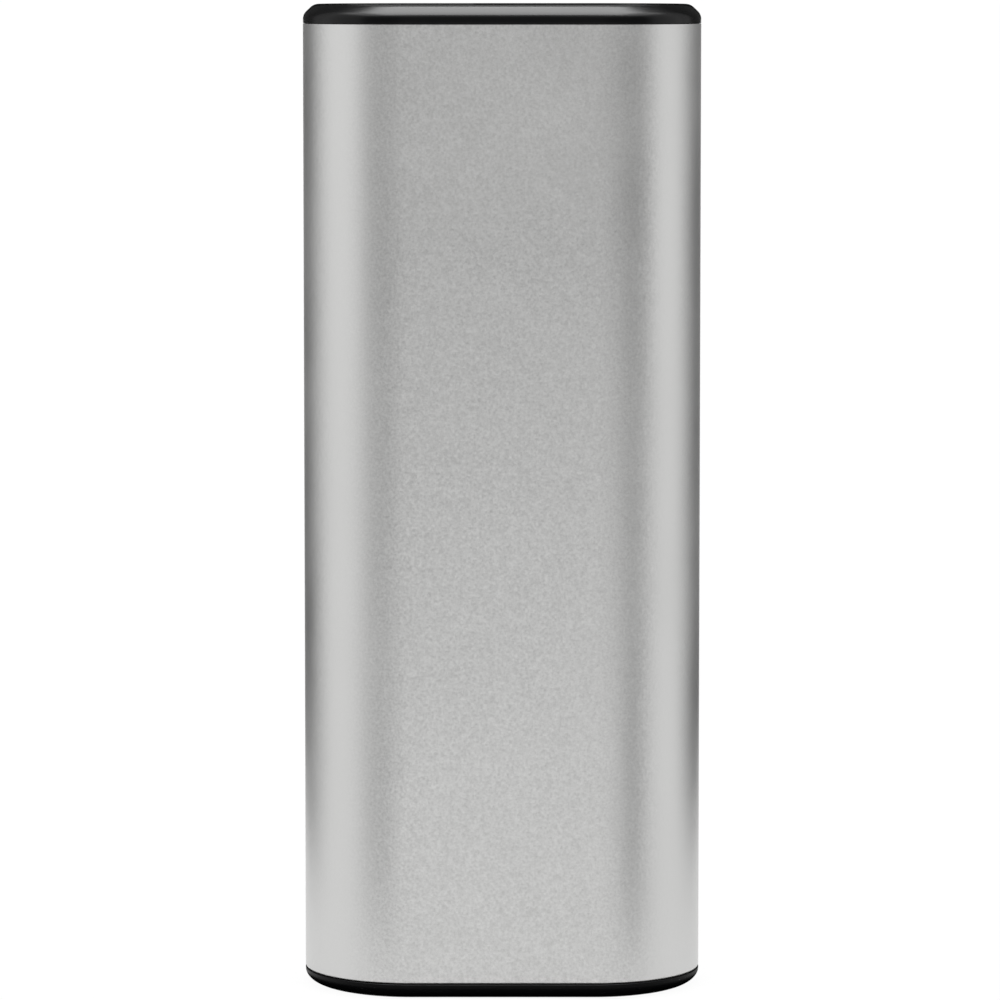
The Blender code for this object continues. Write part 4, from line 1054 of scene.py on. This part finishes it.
def makeCapacitors():
    for node in ("capacitor_left", "capacitor_right"):
        low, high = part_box(node)
        radius, tall = (high.x - low.x) / 2, high.y - low.y
        step = radius - capacitor["step"]
        levels = softened([
            (2 * capacitor["edge"], 0, 0), (0, 0, capacitor["edge"]),
            (0, capacitor["grooveStart"], 0.0001), (capacitor["groove"], capacitor["grooveStart"] + 0.0002, 0.0001),
            (capacitor["groove"], capacitor["grooveEnd"] - 0.0002, 0.0001), (0, capacitor["grooveEnd"], 0.0001),
            (0, tall, capacitor["edge"]), (radius - step, tall, 0),
            (radius - step + capacitor["stepDeep"], tall - capacitor["stepDeep"], 0)])
        bm = bmesh.new()
        for ring in growWall(bm, roundShape(0, 0, radius, 12), levels):
            fillFlat(bm, ring)
        place = Matrix.Translation(((low.x + high.x) / 2, low.y, (low.z + high.z) / 2))
        bmesh.ops.transform(bm, matrix=place @ Matrix.Rotation(math.radians(-90), 4, "X"), verts=bm.verts[:])
        finishPiece(node + "_can", bm, finishes["canAluminium"], "case", [node])


# Cells: a wrapped can with its bead, crimped rim and raised contact, under a card ring

cell = {
    "edge": 0.0007,  # rounding of the can's ends
    "rim": 0.001,  # how far the film turns in over them
    "film": 0.0001,
    "bead": (0.0032, 0.0006, 0.0005),  # below the shoulder, half its height, depth
    "beadRound": 0.00038,
    "nub": (0.0028, 0.0012),  # radius, and height over the shoulder
    "nubRound": 0.0005,
    "nubFoot": 0.0003,
    "groove": (0.0026, 0.0032, 0.0003),  # the gasket in the crimp: inset from and to, depth
    "cardInner": 0.0031,
    "cardEdge": 0.00008,
}


def makeCells():
    for side in ("left", "right"):
        low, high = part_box("cell_" + side)
        x, radius, film = (low.x + high.x) / 2, (high.x - low.x) / 2, cell["film"]
        nub, rise = cell["nub"]
        shoulder = high.z - rise
        drop, half, deep = cell["bead"]
        outer, inner, groove = cell["groove"]
        levels = softened([
            (cell["rim"] + film, low.z + film, 0), (cell["rim"], low.z, 0), (0, low.z, cell["edge"]),
            (0, shoulder - drop - 2 * half, cell["beadRound"]),
            (deep, shoulder - drop - half, cell["beadRound"]), (0, shoulder - drop, cell["beadRound"]),
            (0, shoulder, cell["edge"]), (cell["rim"], shoulder, 0), (cell["rim"] + film, shoulder - film, 0),
            (outer, shoulder - film, film), (outer + film, shoulder - groove, film),
            (inner - film, shoulder - groove, film), (inner, shoulder - film, film),
            (radius - nub, shoulder - film, cell["nubFoot"]), (radius - nub, high.z, cell["nubRound"]),
            (radius - nub + 2 * cell["nubRound"], high.z, 0)], 5)
        bm = bmesh.new()
        for ring in growWall(bm, roundShape(x, 0, radius, 24), levels):
            fillFlat(bm, ring)
        finishPiece(f"cell_{side}_can", bm, finishes["shrunkFilm"], "case", ["cell_" + side])
        low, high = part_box("insulator_ring_" + side)
        radius, edge = (high.x - low.x) / 2, cell["cardEdge"]
        width = radius - cell["cardInner"]
        bm = bmesh.new()
        growWall(bm, roundShape(x, 0, radius, 24), softened([
            (width / 2, low.z, 0), (0, low.z, edge), (0, high.z, edge), (width, high.z, edge),
            (width, low.z, edge), (width / 2, low.z, 0)], 3))
        finishPiece(f"insulator_ring_{side}_card", bm, finishes["pressedCard"], "case",
                    ["insulator_ring_" + side])


makeScrews()
makeChips()
makeSmallParts()
makeCapacitors()
makeCells()


# Better materials for the solids that stay as they are

nodeFinishes = {
    "anodised_aluminium": "blasted",
    "black_cap": "capPlastic",
    "black_button": "buttonPlastic",
    "grey_carrier": "carrierPlastic",
    "white_insulator": "whiteInsulator",
    "black_insulator": "blackInsulator",
    "clear_guide": "clearGuide",
    "pad_rubber": "padRubber",
    "port_steel": "portSteel",
    "screw_steel": "zincScrew",
    "nickel_strip": "nickelStrip",
    "cell_wrap": "shrunkFilm",
    "card": "pressedCard",
    "amber_film": "heaterFilm",
    "insulation_felt": "needledFelt",
    "green_board": "board",
    "dark_ferrite": "pressedFerrite",
}

for part in frame["record"]["subparts"]:
    for materialSlot in frame["nodes"][part["node"]].material_slots:
        materialSlot.material = finishes[nodeFinishes[part["material_slot"]]]
print("solids painted,", len(frame["nodes"]))


# Studio

studio = {
    "cameraPlace": (-0.00021, -0.5776, 0.10386),
    "cameraPitch": 5.373,
    "cameraLens": 204.6,
    "floorSize": 30,  # so far that its edge lies above the picture
    "whiteShare": 0.93,  # the rest is lit paper, which keeps the shadow
    "mattHeight": 0.0002,
    "contactReach": (-0.0012, 0.0024),  # dark ring on the floor, out from the outline and in under it
}

def standing(start, end, foot, top):
    return [(*start, foot), (*end, foot), (*end, top), (*start, top)]


def lying(*corners):
    return [(*corner, studio["mattHeight"]) for corner in corners]


# cards and mats that only the reflections see: corners and grey
cards = {
    "frontCard": (standing((-0.17, -0.8), (0.17, -0.8), 0, 0.68), "#9e9e9e"),
    "frontCardLeft": (standing((-0.67, -0.45), (-0.17, -0.8), 0, 0.68), "#6c6c6c"),
    "frontCardRight": (standing((0.17, -0.8), (0.5, -0.62), 0, 0.68), "#707070"),
    "frontCardFar": (standing((0.5, -0.62), (0.74, -0.3), 0, 0.68), "#626262"),
    "greyFlagLeft": (standing((-0.088, 0.022), (-0.078, 0.043), 0, 0.3), "#c4c4c4"),
    "greyFlagRight": (standing((0.088, 0.022), (0.078, 0.043), 0, 0.3), "#c4c4c4"),
    "flagLeft": (standing((-0.078, 0.043), (-0.063, 0.187), 0, 0.3), "#4c4c4c"),
    "flagRight": (standing((0.078, 0.043), (0.063, 0.187), 0, 0.3), "#4c4c4c"),
    "flagBack": (standing((-0.4, 0.5), (0.4, 0.5), 0.0985, 0.45), "#0a0a0a"),
    "matLeft": (lying((-0.023, -0.036), (-0.049, -0.029), (-0.5, -0.34), (-0.2, -0.58)), "#dadada"),
    "matRight": (lying((0.024, -0.029), (0.031, -0.022), (0.55, -0.31), (0.36, -0.5)), "#bababa"),
}
# softboxes over the object, which only shape the gloss: place, across, deep and radiance
softboxes = {
    "overhead": ((0, -0.07, 0.45), 0.4, 0.36, 11),
    "overheadWide": ((0, -0.07, 0.452), 0.76, 0.36, 3.5),
}


def addToStage(name, bm, material):
    mesh = bpy.data.meshes.new(name)
    bm.to_mesh(mesh)
    bm.free()
    mesh.materials.append(material)
    item = bpy.data.objects.new(name, mesh)
    bpy.context.scene.collection.objects.link(item)
    return item


def makeFloorPaint():
    material, tree, shader, place = startMaterial("whitePaper", "#f4f4f4", 0.9, {"Specular IOR Level": 0})
    rays = addNode(tree, "ShaderNodeLightPath", {})
    mirrored = addNode(tree, "ShaderNodeMath", {
        0: rays.outputs["Is Glossy Ray"], 1: rays.outputs["Is Transmission Ray"]}, operation="ADD")
    seen = addNode(tree, "ShaderNodeMath", {
        0: mirrored.outputs[0], 1: rays.outputs["Is Camera Ray"]}, operation="ADD")
    share = addNode(tree, "ShaderNodeMath", {0: seen.outputs[0], 1: studio["whiteShare"]},
                    operation="MULTIPLY")
    white = addNode(tree, "ShaderNodeEmission", {"Color": linear("#ffffff"), "Strength": 1.02})
    mix = addNode(tree, "ShaderNodeMixShader", {
        0: share.outputs[0], 1: shader.outputs[0], 2: white.outputs[0]})
    tree.links.new(mix.outputs[0], tree.nodes["Material Output"].inputs["Surface"])
    return material


def makeCard(name, bm, grey):
    material = bpy.data.materials.new(name)
    material.use_nodes = True
    tree = material.node_tree
    tree.nodes.remove(tree.nodes["Principled BSDF"])
    glow = addNode(tree, "ShaderNodeEmission", {"Color": linear(grey), "Strength": 1})
    tree.links.new(glow.outputs[0], tree.nodes["Material Output"].inputs["Surface"])
    card = addToStage(name, bm, material)
    card.visible_camera = False
    card.visible_diffuse = False
    card.visible_shadow = False


def makeCards():
    for name, (corners, grey) in cards.items():
        bm = bmesh.new()
        bmesh.ops.contextual_create(bm, geom=[bm.verts.new(corner) for corner in corners])
        makeCard(name, bm, grey)
    bm = bmesh.new()
    growWall(bm, bodyShape, [(reach, studio["mattHeight"]) for reach in studio["contactReach"]])
    makeCard("contactShade", bm, "#040404")


def makeSoftboxes():
    for name, (place, across, deep, radiance) in softboxes.items():
        lamp = bpy.data.lights.new(name, "AREA")
        lamp.shape = "RECTANGLE"
        lamp.size, lamp.size_y = across, deep
        lamp.energy = radiance * math.pi * across * deep
        softbox = bpy.data.objects.new(name, lamp)
        softbox.location = place
        softbox.visible_diffuse = False
        bpy.context.scene.collection.objects.link(softbox)


def makeStudio():
    scene = bpy.context.scene
    camera = bpy.data.objects.new("camera", bpy.data.cameras.new("camera"))
    camera.data.lens = studio["cameraLens"]
    camera.location = studio["cameraPlace"]
    camera.rotation_euler = (math.radians(90 - studio["cameraPitch"]), 0, 0)
    scene.collection.objects.link(camera)
    scene.camera = camera
    bm = bmesh.new()
    bmesh.ops.create_grid(bm, x_segments=1, y_segments=1, size=studio["floorSize"])
    addToStage("floor", bm, makeFloorPaint())
    makeCards()
    makeSoftboxes()
    world = bpy.data.worlds.new("whiteTent")
    world.use_nodes = True
    world.node_tree.nodes["Background"].inputs["Color"].default_value = linear("#ffffff")
    world.node_tree.nodes["Background"].inputs["Strength"].default_value = 1
    scene.world = world
    scene.view_settings.view_transform = "Standard"


makeStudio()
print("studio ready")
